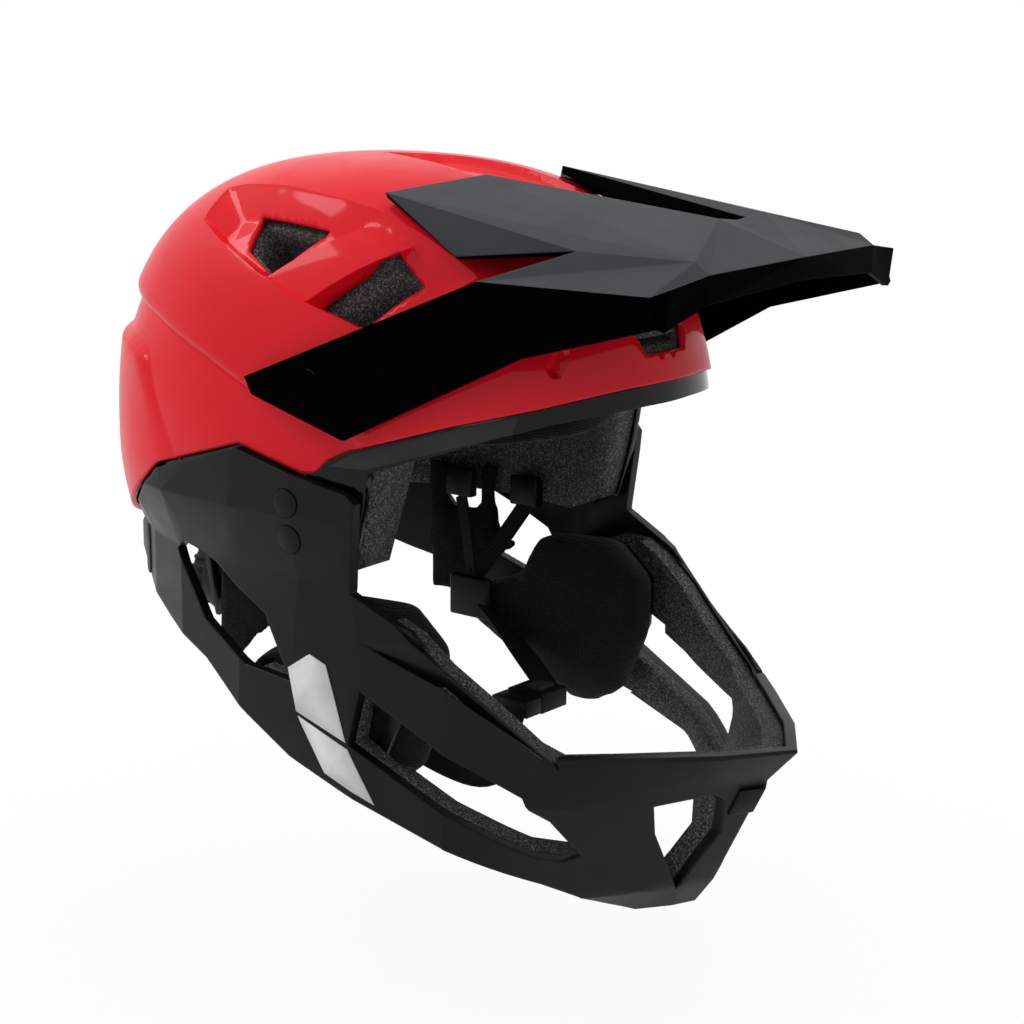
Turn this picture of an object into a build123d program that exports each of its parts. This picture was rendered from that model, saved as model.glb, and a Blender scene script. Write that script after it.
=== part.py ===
# Full face downhill bike helmet with a removable chin bar and a tilting visor.
# Millimetres. The face looks along -Y, the rider's right side is -X, +Z is up.
# The origin is the centre of the head that the helmet is made for.
# Outlines are tables of shares: x of half_width, y of half_length, z of crown_height.
import os
from math import cos, degrees, pi, radians, sin, sqrt

from build123d import *

# Outer shell
half_width = 108.0
half_length = 150.0
crown_height = 127.0
shell_half_width = 106.0
shell_rear_length = 141.0
shell_shift_y = 4.0
plan_power = 2.15
crown_power = 2.62
cavity_power = 2.1
skirt_drop = 62.0
skirt_taper_share = 0.12
shell_wall = 2.5
ring_points = 12
crown_steps = 4

# Head cavity and pads
cavity_half_width = 80.0
cavity_half_length = 104.0
cavity_height = 101.0
cavity_drop = 110.0
pad_thickness = 7.0
ear_pad_thickness = 4.0
soft_gap = 0.4

# Recess, ledge, channel and vents of the shell
recess_depth = 8.5
ledge_depth = 3.0
channel_depth = 4.0
vent_shrink = 3.0

# Brow rim and its grips
rim_inset = 2.2
rim_wall = 3.2
grip_wall = 0.8

# Chin bar
panel_wall = 4.8
panel_gap = 0.4
foam_thickness = 9.0
foam_edge = 2.5
block_proud = 1.5
band_wall = 0.5
chin_slide = 40.0

# Temple plugs, pins and rear buttons
plug_radius = 6.0
plug_depth = 1.8
plug_proud = 0.5
plug_pitch = 15.7
pin_radius = 4.0
pin_reach = 2.0
groove_depth = 2.3
groove_slack = 0.5
button_length = 23.0
button_width = 8.5
button_thickness = 1.6
button_proud = 0.6
button_gap = 0.4
pocket_floor = 0.8
spring_wall = 0.35
spring_length = 14.0
spring_width = 4.0

# Cheek pads and their carriers
cheek_depth = 26.0
carrier_wall = 3.0
rib_width = 2.2
rib_pitch = 13.0
rib_depth = 1.5

# Visor and its lock
visor_wall = 2.4
visor_tilt = 9.0
pivot_radius = 3.0
pivot_slack = 0.35
pivot_boss_radius = 6.5
pivot_boss_length = 1.5
stay_wall = 3.0
stay_band = 15.0
stay_radius = 100.0
stay_angle = 34.0
ear_wall = 2.5
ear_radius = 7.0
lock_gap = 0.35
screw_radius = 2.5
screw_head_radius = 6.0
screw_head_length = 4.0

# Head cradle and its dial
cradle_wall = 2.5
cradle_gap = 0.6
cradle_top = -18.0
cradle_bottom = -96.0
arm_height = 16.0
dial_radius = 17.0
dial_thickness = 9.0
dial_ribs = 24
dial_rib_radius = 1.2
housing_radius = 20.0
housing_depth = 8.0
hub_radius = 4.0

# Webbing and buckle
strap_width = 16.0
strap_wall = 1.6
anchor_length = 14.0
anchor_wall = 5.0
anchor_notch = 5.0
divider_length = 20.0
divider_width = 24.0
divider_wall = 4.5
buckle_length = 30.0
buckle_width = 20.0
buckle_wall = 9.0
buckle_button_width = 9.0
buckle_button_length = 11.0
buckle_travel = 2.0

overrun = 60.0

# Plan rings of the chin bar, from the back round to the front: each level's height share,
# then the ring's x and y shares.
chin_ring_shares = [
    (0.118, [(0.00, 1.020), (0.505, 0.920), (0.741, 0.747), (0.880, 0.567), (0.954, 0.367),
             (0.996, 0.067), (0.987, -0.167), (0.940, -0.367), (0.852, -0.633),
             (0.611, -0.920), (0.463, -1.067), (0.250, -1.195), (0.000, -1.307)]),
    (-0.110, [(0.00, 1.010), (0.480, 0.915), (0.730, 0.747), (0.873, 0.567), (0.948, 0.367),
              (0.986, 0.067), (0.977, -0.167), (0.935, -0.367), (0.860, -0.633),
              (0.640, -0.920), (0.473, -1.067), (0.250, -1.205), (0.000, -1.320)]),
    (-0.325, [(0.00, 0.907), (0.280, 0.870), (0.556, 0.747), (0.722, 0.567), (0.843, 0.367),
              (0.921, 0.067), (0.935, -0.167), (0.917, -0.367), (0.861, -0.633),
              (0.667, -0.920), (0.481, -1.067), (0.250, -1.215), (0.000, -1.333)]),
    (-0.819, [(0.00, 0.907), (0.280, 0.870), (0.556, 0.747), (0.722, 0.567), (0.843, 0.367),
              (0.944, 0.067), (0.954, -0.167), (0.954, -0.367), (0.889, -0.667),
              (0.759, -0.920), (0.537, -1.077), (0.255, -1.267), (0.000, -1.390)]),
    (-0.945, [(0.00, 0.907), (0.280, 0.870), (0.556, 0.747), (0.722, 0.567), (0.843, 0.367),
              (0.944, 0.067), (0.954, -0.167), (0.954, -0.367), (0.898, -0.667),
              (0.796, -0.907), (0.537, -1.040), (0.250, -1.190), (0.000, -1.290)]),
    (-1.330, [(0.00, 0.907), (0.280, 0.860), (0.556, 0.667), (0.722, 0.533), (0.833, 0.367),
              (0.926, 0.067), (0.944, -0.167), (0.935, -0.400), (0.889, -0.667),
              (0.620, -0.860), (0.296, -1.020), (0.139, -1.087), (0.000, -1.127)]),
    (-1.457, [(0.00, 0.907), (0.280, 0.860), (0.556, 0.667), (0.722, 0.533), (0.833, 0.367),
              (0.926, 0.067), (0.935, -0.167), (0.870, -0.400), (0.760, -0.600),
              (0.463, -0.787), (0.200, -0.960), (0.090, -1.020), (0.000, -1.047)]),
]

# Side outlines, as y and z shares
chin_side_shares = [
    (0.440, -0.094), (0.387, -0.039), (0.033, 0.094), (-0.200, 0.028), (-0.347, -0.008),
    (-0.377, -0.039), (-0.350, -0.339), (-0.540, -0.441), (-0.673, -0.567), (-0.920, -0.795),
    (-1.433, -0.811), (-1.433, -1.433), (-0.973, -1.425), (-0.943, -1.378), (-0.920, -1.323),
    (-0.870, -1.252), (-0.660, -1.130), (-0.340, -1.016), (-0.133, -0.937), (0.033, -0.835), (0.240, -0.693),
    (0.460, -0.606), (0.580, -0.551), (0.760, -0.433), (0.753, -0.354)]
pocket_shares = [
    (0.467, -0.079), (0.400, -0.024), (0.033, 0.106), (-0.200, 0.039), (-0.360, 0.004),
    (-0.500, -0.031), (-0.500, -0.591), (0.833, -0.591), (0.833, -0.354)]
aft_window_shares = [
    (0.387, -0.339), (0.333, -0.295), (0.187, -0.339), (-0.033, -0.465), (-0.140, -0.677),
    (0.040, -0.661), (0.240, -0.559)]
fore_window_shares = [
    (-0.360, -0.843), (-0.393, -0.654), (-0.687, -0.827), (-0.887, -0.921), (-0.930, -1.010),
    (-0.955, -1.160), (-0.917, -1.172), (-0.713, -1.039)]
upper_band_shares = [(-0.133, -0.630), (-0.213, -0.567), (-0.273, -0.591), (-0.353, -0.835),
                     (-0.167, -0.772)]
lower_band_shares = [(-0.173, -0.787), (-0.360, -0.858), (-0.447, -1.030), (-0.273, -0.960)]
red_side_shares = [
    (-1.100, 0.362), (-0.927, 0.335), (-0.807, 0.291), (-0.627, 0.236), (-0.353, 0.134),
    (-0.273, 0.087), (-0.240, 0.047), (-0.200, 0.039), (0.033, 0.106), (0.400, -0.024),
    (0.467, -0.079), (0.833, -0.354), (0.833, -0.394), (1.100, -0.394), (1.100, 1.100),
    (-1.100, 1.100)]
rim_side_shares = [
    (-1.100, 0.362), (-0.927, 0.335), (-0.807, 0.291), (-0.627, 0.236), (-0.353, 0.134),
    (-0.273, 0.087), (-0.240, 0.047), (-0.200, 0.039), (-0.267, -0.283), (-0.333, -0.283),
    (-0.380, -0.063), (-0.400, 0.063), (-0.680, 0.181), (-0.820, 0.236), (-0.940, 0.268),
    (-1.100, 0.268)]
lower_side_shares = [
    (-0.200, 0.039), (0.033, 0.106), (0.400, -0.024), (0.467, -0.079), (0.833, -0.354),
    (0.833, -0.394), (0.567, -0.394), (0.400, -0.331), (-0.233, -0.331), (-0.267, -0.283)]
base_side_shares = [
    (-1.100, 0.276), (-0.935, 0.276), (-0.815, 0.244), (-0.675, 0.189), (-0.393, 0.071),
    (-0.370, -0.063), (-0.325, -0.276), (-0.230, -0.323), (0.400, -0.323), (0.567, -0.386),
    (1.100, -0.386), (1.100, 1.100), (-1.100, 1.100)]
ledge_side_shares = [
    (-0.413, 0.134), (-0.207, 0.220), (0.033, 0.291), (0.187, 0.362), (0.473, 0.457),
    (0.627, 0.488), (1.067, 0.520), (1.267, 0.520), (1.267, -0.551), (-0.413, -0.551)]
grip_side_shares = [
    (-0.760, 0.268), (-0.627, 0.226), (-0.353, 0.124), (-0.290, 0.075), (-0.393, 0.075),
    (-0.680, 0.185), (-0.750, 0.212)]
cheek_side_shares = [
    (-0.200, -0.390), (-0.427, -0.390), (-0.560, -0.528), (-0.553, -0.748), (-0.460, -0.984),
    (-0.353, -1.050), (-0.280, -1.050), (-0.033, -0.929), (0.190, -0.795), (0.190, -0.732),
    (0.120, -0.654), (-0.053, -0.559), (-0.093, -0.488), (-0.133, -0.417)]
cheek_layer_shares = [(0.00, 0.86), (0.30, 0.97), (0.62, 1.00), (0.85, 0.93), (1.00, 0.74)]

# Points on the shell, as x, y and z shares
recess_shares = [
    (-0.651, 0.381, 0.786), (-0.483, 0.396, 0.882), (-0.491, 0.314, 0.903),
    (-0.532, 0.125, 0.915), (-0.567, -0.073, 0.899), (-0.577, -0.268, 0.864),
    (-0.587, -0.446, 0.789), (-0.571, -0.605, 0.685), (-0.820, -0.425, 0.480),
    (-0.848, -0.341, 0.523), (-0.866, -0.197, 0.574), (-0.865, -0.117, 0.602),
    (-0.840, 0.031, 0.658), (-0.757, 0.235, 0.738)]
bridge_shares = [(-0.638, -0.255, 0.828), (-0.635, -0.405, 0.773), (-0.885, -0.130, 0.560),
                 (-0.865, 0.035, 0.620)]
rear_opening_shares = [(-0.574, 0.193, 0.805), (-0.615, -0.107, 0.783),
                       (-0.827, 0.025, 0.662), (-0.725, 0.173, 0.717)]
fore_opening_shares = [(-0.608, -0.375, 0.710), (-0.629, -0.470, 0.626),
                       (-0.839, -0.339, 0.521), (-0.855, -0.193, 0.576)]
channel_plan_shares = [(0.00, 0.10), (0.11, -0.10), (0.21, -0.47), (0.24, -0.80), (0.00, -0.84)]
slit_front_shares = [(-0.53, 0.40), (-0.49, 0.37), (-0.42, 0.46), (-0.46, 0.49)]
centre_vent_shares = [(-0.16, 0.50), (0.16, 0.50), (0.12, 0.43), (-0.12, 0.43)]
rear_vent_shares = [(0.12, 0.46), (0.46, 0.40), (0.40, 0.27), (0.12, 0.30)]
mouth_vent_shares = [(-0.376, -0.991), (-0.187, -0.965), (-0.127, -0.996), (-0.075, -1.124),
                     (-0.154, -1.343), (-0.328, -1.101)]
bevel_shares = [(0.975, -0.360, -0.300), (0.611, -0.920, -0.795), (0.700, -0.960, -0.835),
                (0.985, -0.230, -0.405)]

# Visor corners, as x, y and z shares
ridge_rear, ridge_front = (0.241, -0.433, 0.977), (0.148, -1.160, 0.890)
crease_rear, crease_front = (0.556, -0.260, 0.925), (0.556, -1.287, 0.803)
inner_rear, inner_mid, inner_front = (0.230, -0.440, 0.950), (0.110, -0.867, 0.835), (0.080, -1.147, 0.874)
flank_edge = (0.690, -0.590, 0.760)
wing_rear, wing_inner, wing_front = (0.815, -0.733, 0.709), (0.648, -0.967, 0.811), (0.787, -1.267, 0.717)
lip_centre, lip_mid, lip_corner = (0.000, -1.367, 0.780), (0.556, -1.333, 0.768), (0.759, -1.313, 0.740)
lip_centre_low, lip_mid_low = (0.000, -1.353, 0.705), (0.556, -1.327, 0.677)
lip_corner_low = (0.759, -1.300, 0.614)
wall_rear_top, wall_rear_low = (1.028, -0.040, 0.346), (1.028, -0.067, 0.291)
wall_low, wall_kink, wall_front = (1.023, -0.393, 0.189), (0.833, -0.887, 0.492), (0.796, -1.293, 0.626)

# Pads, foam limits and the cradle's outlines
brow_pad_height_shares = (0.34, 0.10)
brow_pad_front_share = -0.84
crown_pad_shares = [(0.00, 0.05, 0.60, 0.16), (0.33, 0.10, 0.50, 0.16), (-0.33, 0.10, 0.50, 0.16)]
ear_pad_shares = [(0.060, -0.220), (0.080, -0.307), (0.053, -0.490), (-0.020, -0.505),
                  (0.120, -0.615), (0.205, -0.700), (0.225, -0.740), (0.330, -0.730), (0.330, -0.220)]
foam_limit_shares = [(-0.360, -0.420), (-1.433, -0.420), (-1.433, -1.450), (0.000, -1.450),
                     (0.000, -0.560), (-0.200, -0.500)]
block_height_shares = (-0.965, -1.060)
block_width_share = 0.09
block_front_share = -1.20
arm_start_share = 0.38
spine_shares = [(-0.500, -0.142), (0.500, -0.142), (0.220, -0.756), (-0.220, -0.756)]
cradle_slot_shares = [(-0.155, -0.220), (0.155, -0.220), (0.110, -0.440), (-0.110, -0.440)]
rear_pad_shares = [(-0.440, -0.160), (0.440, -0.160), (0.200, -0.720), (-0.200, -0.720)]

# Places of small parts, as shares
pivot_share = (-0.240, 0.340)
plug_share = (-0.153, -0.063)
latch_share = (0.480, -0.240)
button_share = (0.565, -0.425)
dial_height_share = -0.640
anchor_shares = [(-0.050, -0.290), (0.200, -0.290)]
divider_place_share = (0.519, 0.067, -0.690)
buckle_share = (0.200, -0.350, -0.930)
strap_sag_share = (-0.190, -0.400, -1.130)


def at(x, y, z):
    """A point from its three shares."""
    return Vector(x * half_width, y * half_length, z * crown_height)


def side(shares):
    """Points of a side outline, from its y and z shares."""
    return [(y * half_length, z * crown_height) for y, z in shares]


def prism(plane, points, near, far, grow=0.0):
    """A straight block over an outline on a plane."""
    face = make_face(Polyline(*points, close=True))
    if grow:
        face = offset(face, amount=grow, kind=Kind.INTERSECTION)
    return extrude(plane.offset(near) * face, amount=far - near)


def across(shares, grow=0.0):
    """A side outline run right through the helmet, from side to side."""
    reach = half_width + overrun
    return prism(Plane.YZ, side(shares), -reach, reach, grow)


def both(solid):
    """The solid and its mirror image."""
    return [solid, mirror(solid, about=Plane.YZ)]


def superellipse(rx, front, rear, z, power):
    """A closed level curve, rounder than an ellipse, with its own reach to front and rear."""
    points = []
    for i in range(ring_points):
        a = 2 * pi * i / ring_points
        c, s = cos(a), sin(a)
        x = rx * abs(c) ** (2 / power) * (1 if c > 0 else -1)
        y = rear * s ** (2 / power) if s > 0 else -front * (-s) ** (2 / power)
        points.append((x, y + shell_shift_y, z))
    return Wire([Spline(points, periodic=True)])


def dome(rx, front, rear, top, drop, taper, plan, crown):
    """A closed dome with a skirt below its widest level."""
    rings = []
    for share in (1.0, 0.5):
        scale = 1 - taper * share ** 2
        rings.append(superellipse(rx * scale, front * scale, rear * scale, -drop * share, plan))
    for i in range(crown_steps):
        a = radians(90 * i / crown_steps)
        scale = cos(a) ** (2 / crown)
        z = top * sin(a) ** (2 / crown)
        rings.append(superellipse(rx * scale, front * scale, rear * scale, z, plan))
    return Solid.make_loft(rings + [Vertex(0, shell_shift_y, top)])


domes = {}
top_forms = {}


def shell_dome(inset):
    """The shell's smooth form, inset on all sides."""
    if inset not in domes:
        domes[inset] = dome(shell_half_width - inset, half_length - inset, shell_rear_length - inset,
                            crown_height - inset, skirt_drop + inset, skirt_taper_share,
                            plan_power, crown_power)
    return domes[inset]


def cavity(inset):
    """The head cavity, inset on all sides."""
    length = cavity_half_length - inset
    return dome(cavity_half_width - inset, length, length, cavity_height - inset, cavity_drop, 0.0,
                cavity_power, cavity_power)


def shrink(ring, amount):
    """A closed outline moved inwards by an amount, corner for corner."""
    moved = []
    count = len(ring)
    for i, (x, y) in enumerate(ring):
        ax, ay = ring[i - 1]
        bx, by = ring[(i + 1) % count]
        la, lb = sqrt((x - ax) ** 2 + (y - ay) ** 2), sqrt((bx - x) ** 2 + (by - y) ** 2)
        nax, nay = (y - ay) / la, -(x - ax) / la
        nbx, nby = (by - y) / lb, -(bx - x) / lb
        scale = amount / (1 + nax * nbx + nay * nby)
        moved.append((x + (nax + nbx) * scale, y + (nay + nby) * scale))
    return moved


def chin_form(inset):
    """The U of the chin bar as a closed block, inset on all sides."""
    wires = []
    for z, half in chin_ring_shares:
        right = [(x * half_width, y * half_length) for x, y in half]
        ring = right + [(-x, y) for x, y in reversed(right[1:-1])]
        if inset:
            ring = shrink(ring, inset)
        wires.append(Wire.make_polygon([(x, y, z * crown_height) for x, y in ring], close=True))
    return Solid.make_loft(wires, ruled=True)


flank_plane = Plane(origin=(0, 0, 0), x_dir=(0, 1, 0), z_dir=(-1, 0, 1))
front_plane = Plane.XZ
rear_plane = Plane(origin=(0, 0, 0), x_dir=(-1, 0, 0), z_dir=(0, 1, 0))


def on_flank(shares, grow=0.0):
    """A block square to the shell's right shoulder, over points on the shell."""
    points = []
    for share in shares:
        p = flank_plane.to_local_coords(at(*share))
        points.append((p.X, p.Y))
    return prism(flank_plane, points, half_width / 2, half_width + overrun, grow)


def pressed(block, depth):
    """What a pressed-in form of this outline and depth takes off the shell."""
    return block - shell_dome(depth)


def flat_points(shares):
    """Points on the front or rear plane, from x and z shares."""
    return [(x * half_width, z * crown_height) for x, z in shares]


def top_form(inset):
    """The shell's outer form with its pressed features, inset on all sides."""
    if inset in top_forms:
        return top_forms[inset]
    recess = on_flank(recess_shares, inset) - on_flank(bridge_shares, -inset)
    channel_half = [(x * half_width, y * half_length) for x, y in channel_plan_shares]
    channel_plan = channel_half + [(-x, y) for x, y in reversed(channel_half[1:-1])]
    channel = prism(Plane.XY, channel_plan, half_length / 5, crown_height + overrun, inset)
    form = shell_dome(inset) - pressed(across(ledge_side_shares, inset), ledge_depth + inset)
    form = form - pressed(channel, channel_depth + inset)
    for cut in both(pressed(recess, recess_depth + inset)):
        form = form - cut
    top_forms[inset] = form
    return form


def pocket(inset):
    """What the chin bar's ear panels take off the helmet body, inset on all sides."""
    return across(pocket_shares, inset) - chin_form(panel_wall + panel_gap + inset)


def vents(grow):
    """Blocks that open the shell's vents."""
    openings = both(on_flank(rear_opening_shares, grow)) + both(on_flank(fore_opening_shares, grow))
    front = prism(front_plane, flat_points(centre_vent_shares), half_length / 3,
                  half_length + overrun, grow)
    rear = prism(rear_plane, flat_points(rear_vent_shares), half_length / 3,
                 half_length + overrun, grow)
    return openings + [front] + both(rear)


def slits():
    """The narrow slits on each side of the forehead."""
    return both(prism(front_plane, flat_points(slit_front_shares), half_length / 3,
                      half_length + overrun))


def cut_all(solid, cutters):
    for cutter in cutters:
        solid = solid - cutter
    return solid


# Visor tilt axis and its pins, in the shell above the temples
pivot_y, pivot_z = pivot_share[0] * half_length, pivot_share[1] * crown_height


def plane_x(corners, y, z):
    """Where the flat face through three corners lies, at a side place."""
    a, b, c = [at(*corner) for corner in corners]
    normal = (b - a).cross(c - a)
    return a.X - (normal.Y * (y - a.Y) + normal.Z * (z - a.Z)) / normal.X


pivot_skin = plane_x((wing_rear, wall_rear_low, wall_low), pivot_y, pivot_z)
pivot_tip = pivot_skin - visor_wall / 2 - pivot_slack
pivot_plane = Plane(origin=(0, pivot_y, pivot_z), x_dir=(0, 1, 0), z_dir=(1, 0, 0))


def pivot_rod(radius, start, end):
    """A round bar on the tilt axis, on the left side."""
    return extrude(pivot_plane.offset(start) * Circle(radius), amount=end - start)


pivot_root = half_width - 4 * shell_wall
pivot_pin = pivot_rod(pivot_radius, pivot_root, pivot_tip)
pivot_bores = both(pivot_rod(pivot_radius, pivot_root, half_width + overrun))


def largest(shape):
    """The biggest solid of a shape, without the slivers that a cut can leave."""
    return max(shape.solids(), key=lambda s: s.volume)


def make_shell_upper():
    body = (top_form(0.0) & across(red_side_shares)) - top_form(shell_wall)
    return largest(cut_all(body, vents(0.0) + slits() + pivot_bores))


def make_shell_lower():
    inner = panel_wall + panel_gap
    body = shell_dome(0.0) & chin_form(inner) & across(lower_side_shares)
    return body - (shell_dome(shell_wall) & chin_form(inner + shell_wall))


def make_brow_rim():
    body = (shell_dome(rim_inset) & across(rim_side_shares)) - shell_dome(rim_inset + rim_wall)
    return largest(body - pocket(0.0))


def make_grips():
    strip = across(grip_side_shares) & shell_dome(rim_inset - grip_wall)
    return strip - shell_dome(rim_inset) - pocket(0.0)


def make_liner():
    body = (top_form(shell_wall) & across(base_side_shares)) - pocket(shell_wall)
    body = body - (across(rim_side_shares) - shell_dome(rim_inset + rim_wall))
    return largest(cut_all(body - cavity(0.0), vents(-vent_shrink) + pivot_bores))


def make_brow_pad():
    top, bottom = [share * crown_height for share in brow_pad_height_shares]
    front = brow_pad_front_share * half_length
    band = Pos(0, front, (top + bottom) / 2) * Box(half_width, half_length, top - bottom)
    return (cavity(soft_gap) - cavity(soft_gap + pad_thickness)) & band


def make_crown_pads():
    layer = cavity(soft_gap) - cavity(soft_gap + pad_thickness)
    pads = []
    for x, y, length, width in crown_pad_shares:
        block = Pos(x * half_width, y * half_length, crown_height) * Box(
            width * half_width, length * half_length, crown_height)
        pads.append(layer & block)
    return pads


# Chin bar
def panel_plane(y_share, z_share, outward=0.0):
    """A plane on the left panel, looking outwards along X, at a side place."""
    return Plane(origin=(outward, y_share * half_length, z_share * crown_height),
                 x_dir=(0, 1, 0), z_dir=(1, 0, 0))


def panel_x(y_share, z_share, inset=0.0):
    """How far out the panel's face lies at a side place."""
    ray = Pos(0, y_share * half_length, z_share * crown_height) * Box(
        4 * half_width, spring_wall, spring_wall)
    return (chin_form(inset) & ray).bounding_box().max.X


def disc(y_share, z_share, radius, start, end, lift=0.0):
    """A round disc square to the side, between two distances from the middle."""
    plane = panel_plane(y_share, z_share)
    return extrude(plane.offset(start) * Pos(0, lift) * Circle(radius), amount=end - start)


def rear_button_plane(out):
    """A plane square to the panel's rear face, at the button, moved outwards."""
    (ax, ay), (bx, by) = [(x * half_width, y * half_length) for x, y in chin_ring_shares[2][1][2:4]]
    run = Vector(ax - bx, ay - by, 0).normalized()
    normal = Vector(-run.Y, run.X, 0)
    normal = normal if normal.X > 0 else normal * -1
    mid = Vector((ax + bx) / 2, (ay + by) / 2, button_share[1] * crown_height)
    return Plane(origin=mid + normal * out, x_dir=(0, 0, 1), z_dir=normal)


def button_block(out, depth, grow=0.0):
    plane = rear_button_plane(out)
    face = SlotOverall(button_length + 2 * grow, button_width + 2 * grow)
    return extrude(plane * face, amount=-depth)


def mouth_vents():
    return both(prism(front_plane, flat_points(mouth_vent_shares), half_length / 2,
                      2 * half_length))


def bevels():
    """Wedges that bevel the top of the side rails."""
    a, b, c, d = [at(*share) for share in bevel_shares]
    lift = Vector(half_width, 0, crown_height) * 0.5
    face = Face(Wire.make_polygon([a, b, c], close=True))
    other = Face(Wire.make_polygon([a, c, d], close=True))
    blocks = []
    for piece in (face, other):
        blocks += both(extrude(piece, amount=lift.length, dir=lift))
    return blocks


cheek_outer = 0.800 * half_width
cheek_points = side(cheek_side_shares)
cheek_mid = (sum(y for y, z in cheek_points) / len(cheek_points),
             sum(z for y, z in cheek_points) / len(cheek_points))

plug_lifts = (0.0, -plug_pitch)
latch_x = panel_x(*latch_share)


def plug_hole(lift):
    """The blind round hole of a plug, in the left panel's outer face."""
    skin = panel_x(plug_share[0], plug_share[1] + lift / crown_height)
    return disc(*plug_share, plug_radius, skin - plug_depth, half_width + overrun, lift)


def groove(place, lift=0.0):
    """The blind groove that a pin runs in, open upwards, on the left panel's inside."""
    plane = panel_plane(*place)
    width = 2 * (pin_radius + groove_slack)
    height = chin_slide + 2 * pin_radius
    slot = Pos(0, lift + height / 2) * Rectangle(width, height) + Pos(0, lift) * Circle(width / 2)
    block = extrude(plane.offset(half_width / 2) * slot, amount=half_width)
    return block & chin_form(panel_wall - groove_depth)


def make_chin_shell():
    body = chin_form(0.0) - chin_form(panel_wall)
    body = body & across(chin_side_shares)
    body = cut_all(body, [across(aft_window_shares), across(fore_window_shares)])
    body = cut_all(body, bevels() + mouth_vents())
    for lift in plug_lifts:
        body = cut_all(body, both(plug_hole(lift)))
    body = cut_all(body, both(groove(plug_share)) + both(groove(latch_share)))
    pocket = button_block(overrun, overrun + panel_wall - pocket_floor, button_gap)
    return cut_all(body, both(pocket))


def make_temple_plugs():
    plugs = []
    for lift in plug_lifts:
        plugs += both(plug_hole(lift) & chin_form(-plug_proud))
    return plugs


def pin_disc(place):
    base = chin_form(panel_wall + panel_gap)
    reach = disc(*place, pin_radius, half_width / 2, half_width + overrun)
    return (reach & chin_form(panel_wall - pin_reach)) - base


def make_button():
    return button_block(button_proud, button_proud + button_thickness)


def make_spring():
    plane = rear_button_plane(pocket_floor - panel_wall)
    return extrude(plane * SlotOverall(spring_length, spring_width), amount=spring_wall)


def make_chin_foam():
    body = chin_form(panel_wall) - chin_form(panel_wall + foam_thickness)
    reach = half_width + overrun
    body = body & across(chin_side_shares, -foam_edge)
    body = body & prism(Plane.YZ, side(foam_limit_shares), -reach, reach)
    body = cut_all(body, [across(aft_window_shares), across(fore_window_shares)])
    seat = prism(Plane.YZ, cheek_points, 0.0, cheek_outer + carrier_wall + soft_gap, soft_gap)
    return cut_all(body, mouth_vents() + both(seat))


def make_side_bands():
    skin_layer = chin_form(-band_wall) - chin_form(0.0)
    window_cuts = [across(aft_window_shares), across(fore_window_shares)]
    bands = []
    for shares in (upper_band_shares, lower_band_shares):
        band = cut_all(skin_layer & across(shares) & across(chin_side_shares), window_cuts)
        bands += [s for s in band.solids() if s.volume > band_wall]
    return bands


def make_chin_block():
    """The small bare block on the chin bar's nose, between the mouth vents."""
    high, low = [share * crown_height for share in block_height_shares]
    block = Pos(0, block_front_share * half_length, (high + low) / 2) * Box(
        2 * block_width_share * half_width, half_length, high - low)
    return (chin_form(-block_proud) - chin_form(0.0)) & block


# Cheek pads and carriers
def scaled_outline(share):
    my, mz = cheek_mid
    return [(my + (y - my) * share, mz + (z - mz) * share) for y, z in cheek_points]


def make_cheek_pad():
    wires = []
    for depth_share, outline_share in cheek_layer_shares:
        x = cheek_outer - soft_gap - depth_share * cheek_depth
        wires.append(Wire.make_polygon([(x, y, z) for y, z in scaled_outline(outline_share)],
                                       close=True))
    return Solid.make_loft(wires, ruled=True)


def make_carrier():
    """The ribbed plate that holds a cheek pad."""
    plate = prism(Plane.YZ, scaled_outline(0.80), cheek_outer, cheek_outer + carrier_wall)
    box = plate.bounding_box()
    cells = int((box.max.Y - box.min.Y) / rib_pitch) + 1
    rows = int((box.max.Z - box.min.Z) / rib_pitch) + 1
    inner = make_face(Polyline(*scaled_outline(0.72), close=True))
    side_length = rib_pitch - rib_width
    for i in range(cells):
        for j in range(rows):
            turn = 180 * ((i + j) % 2)
            cell = Pos(box.min.Y + i * rib_pitch, box.min.Z + j * rib_pitch) * Rot(0, 0, turn) * (
                Triangle(a=side_length, b=side_length, c=side_length))
            cut = cell & inner
            if cut and cut.area > rib_width:
                start = cheek_outer + carrier_wall - rib_depth
                plate = plate - extrude(Plane.YZ.offset(start) * cut, amount=carrier_wall)
    return plate


# Visor
def on_middle(point):
    return (0.0, point[1], point[2])


visor_tops = [
    [ridge_rear, crease_rear, crease_front, ridge_front],
    [ridge_front, crease_front, lip_mid, lip_centre],
    [on_middle(inner_front), inner_front, ridge_front, lip_centre],
    [crease_rear, flank_edge, wing_inner, crease_front],
    [wing_rear, wing_front, crease_front, wing_inner],
    [wing_front, lip_corner, lip_mid, crease_front],
]
visor_walls = [
    [wing_rear, wall_rear_top, wall_rear_low, wall_low, wall_kink, wall_front, wing_front],
    [wing_front, wall_front, lip_corner_low, lip_corner],
]
visor_slot_walls = [[ridge_rear, inner_rear, inner_mid, inner_front, ridge_front]]
visor_lips = [
    [lip_centre, lip_mid, lip_mid_low, lip_centre_low],
    [lip_mid, lip_corner, lip_corner_low, lip_mid_low],
]
up, outwards, slotwards, forwards = (0, 0, 1), (1, 0, 0), (-1, 0, 0), (0, -1, 0)


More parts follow.
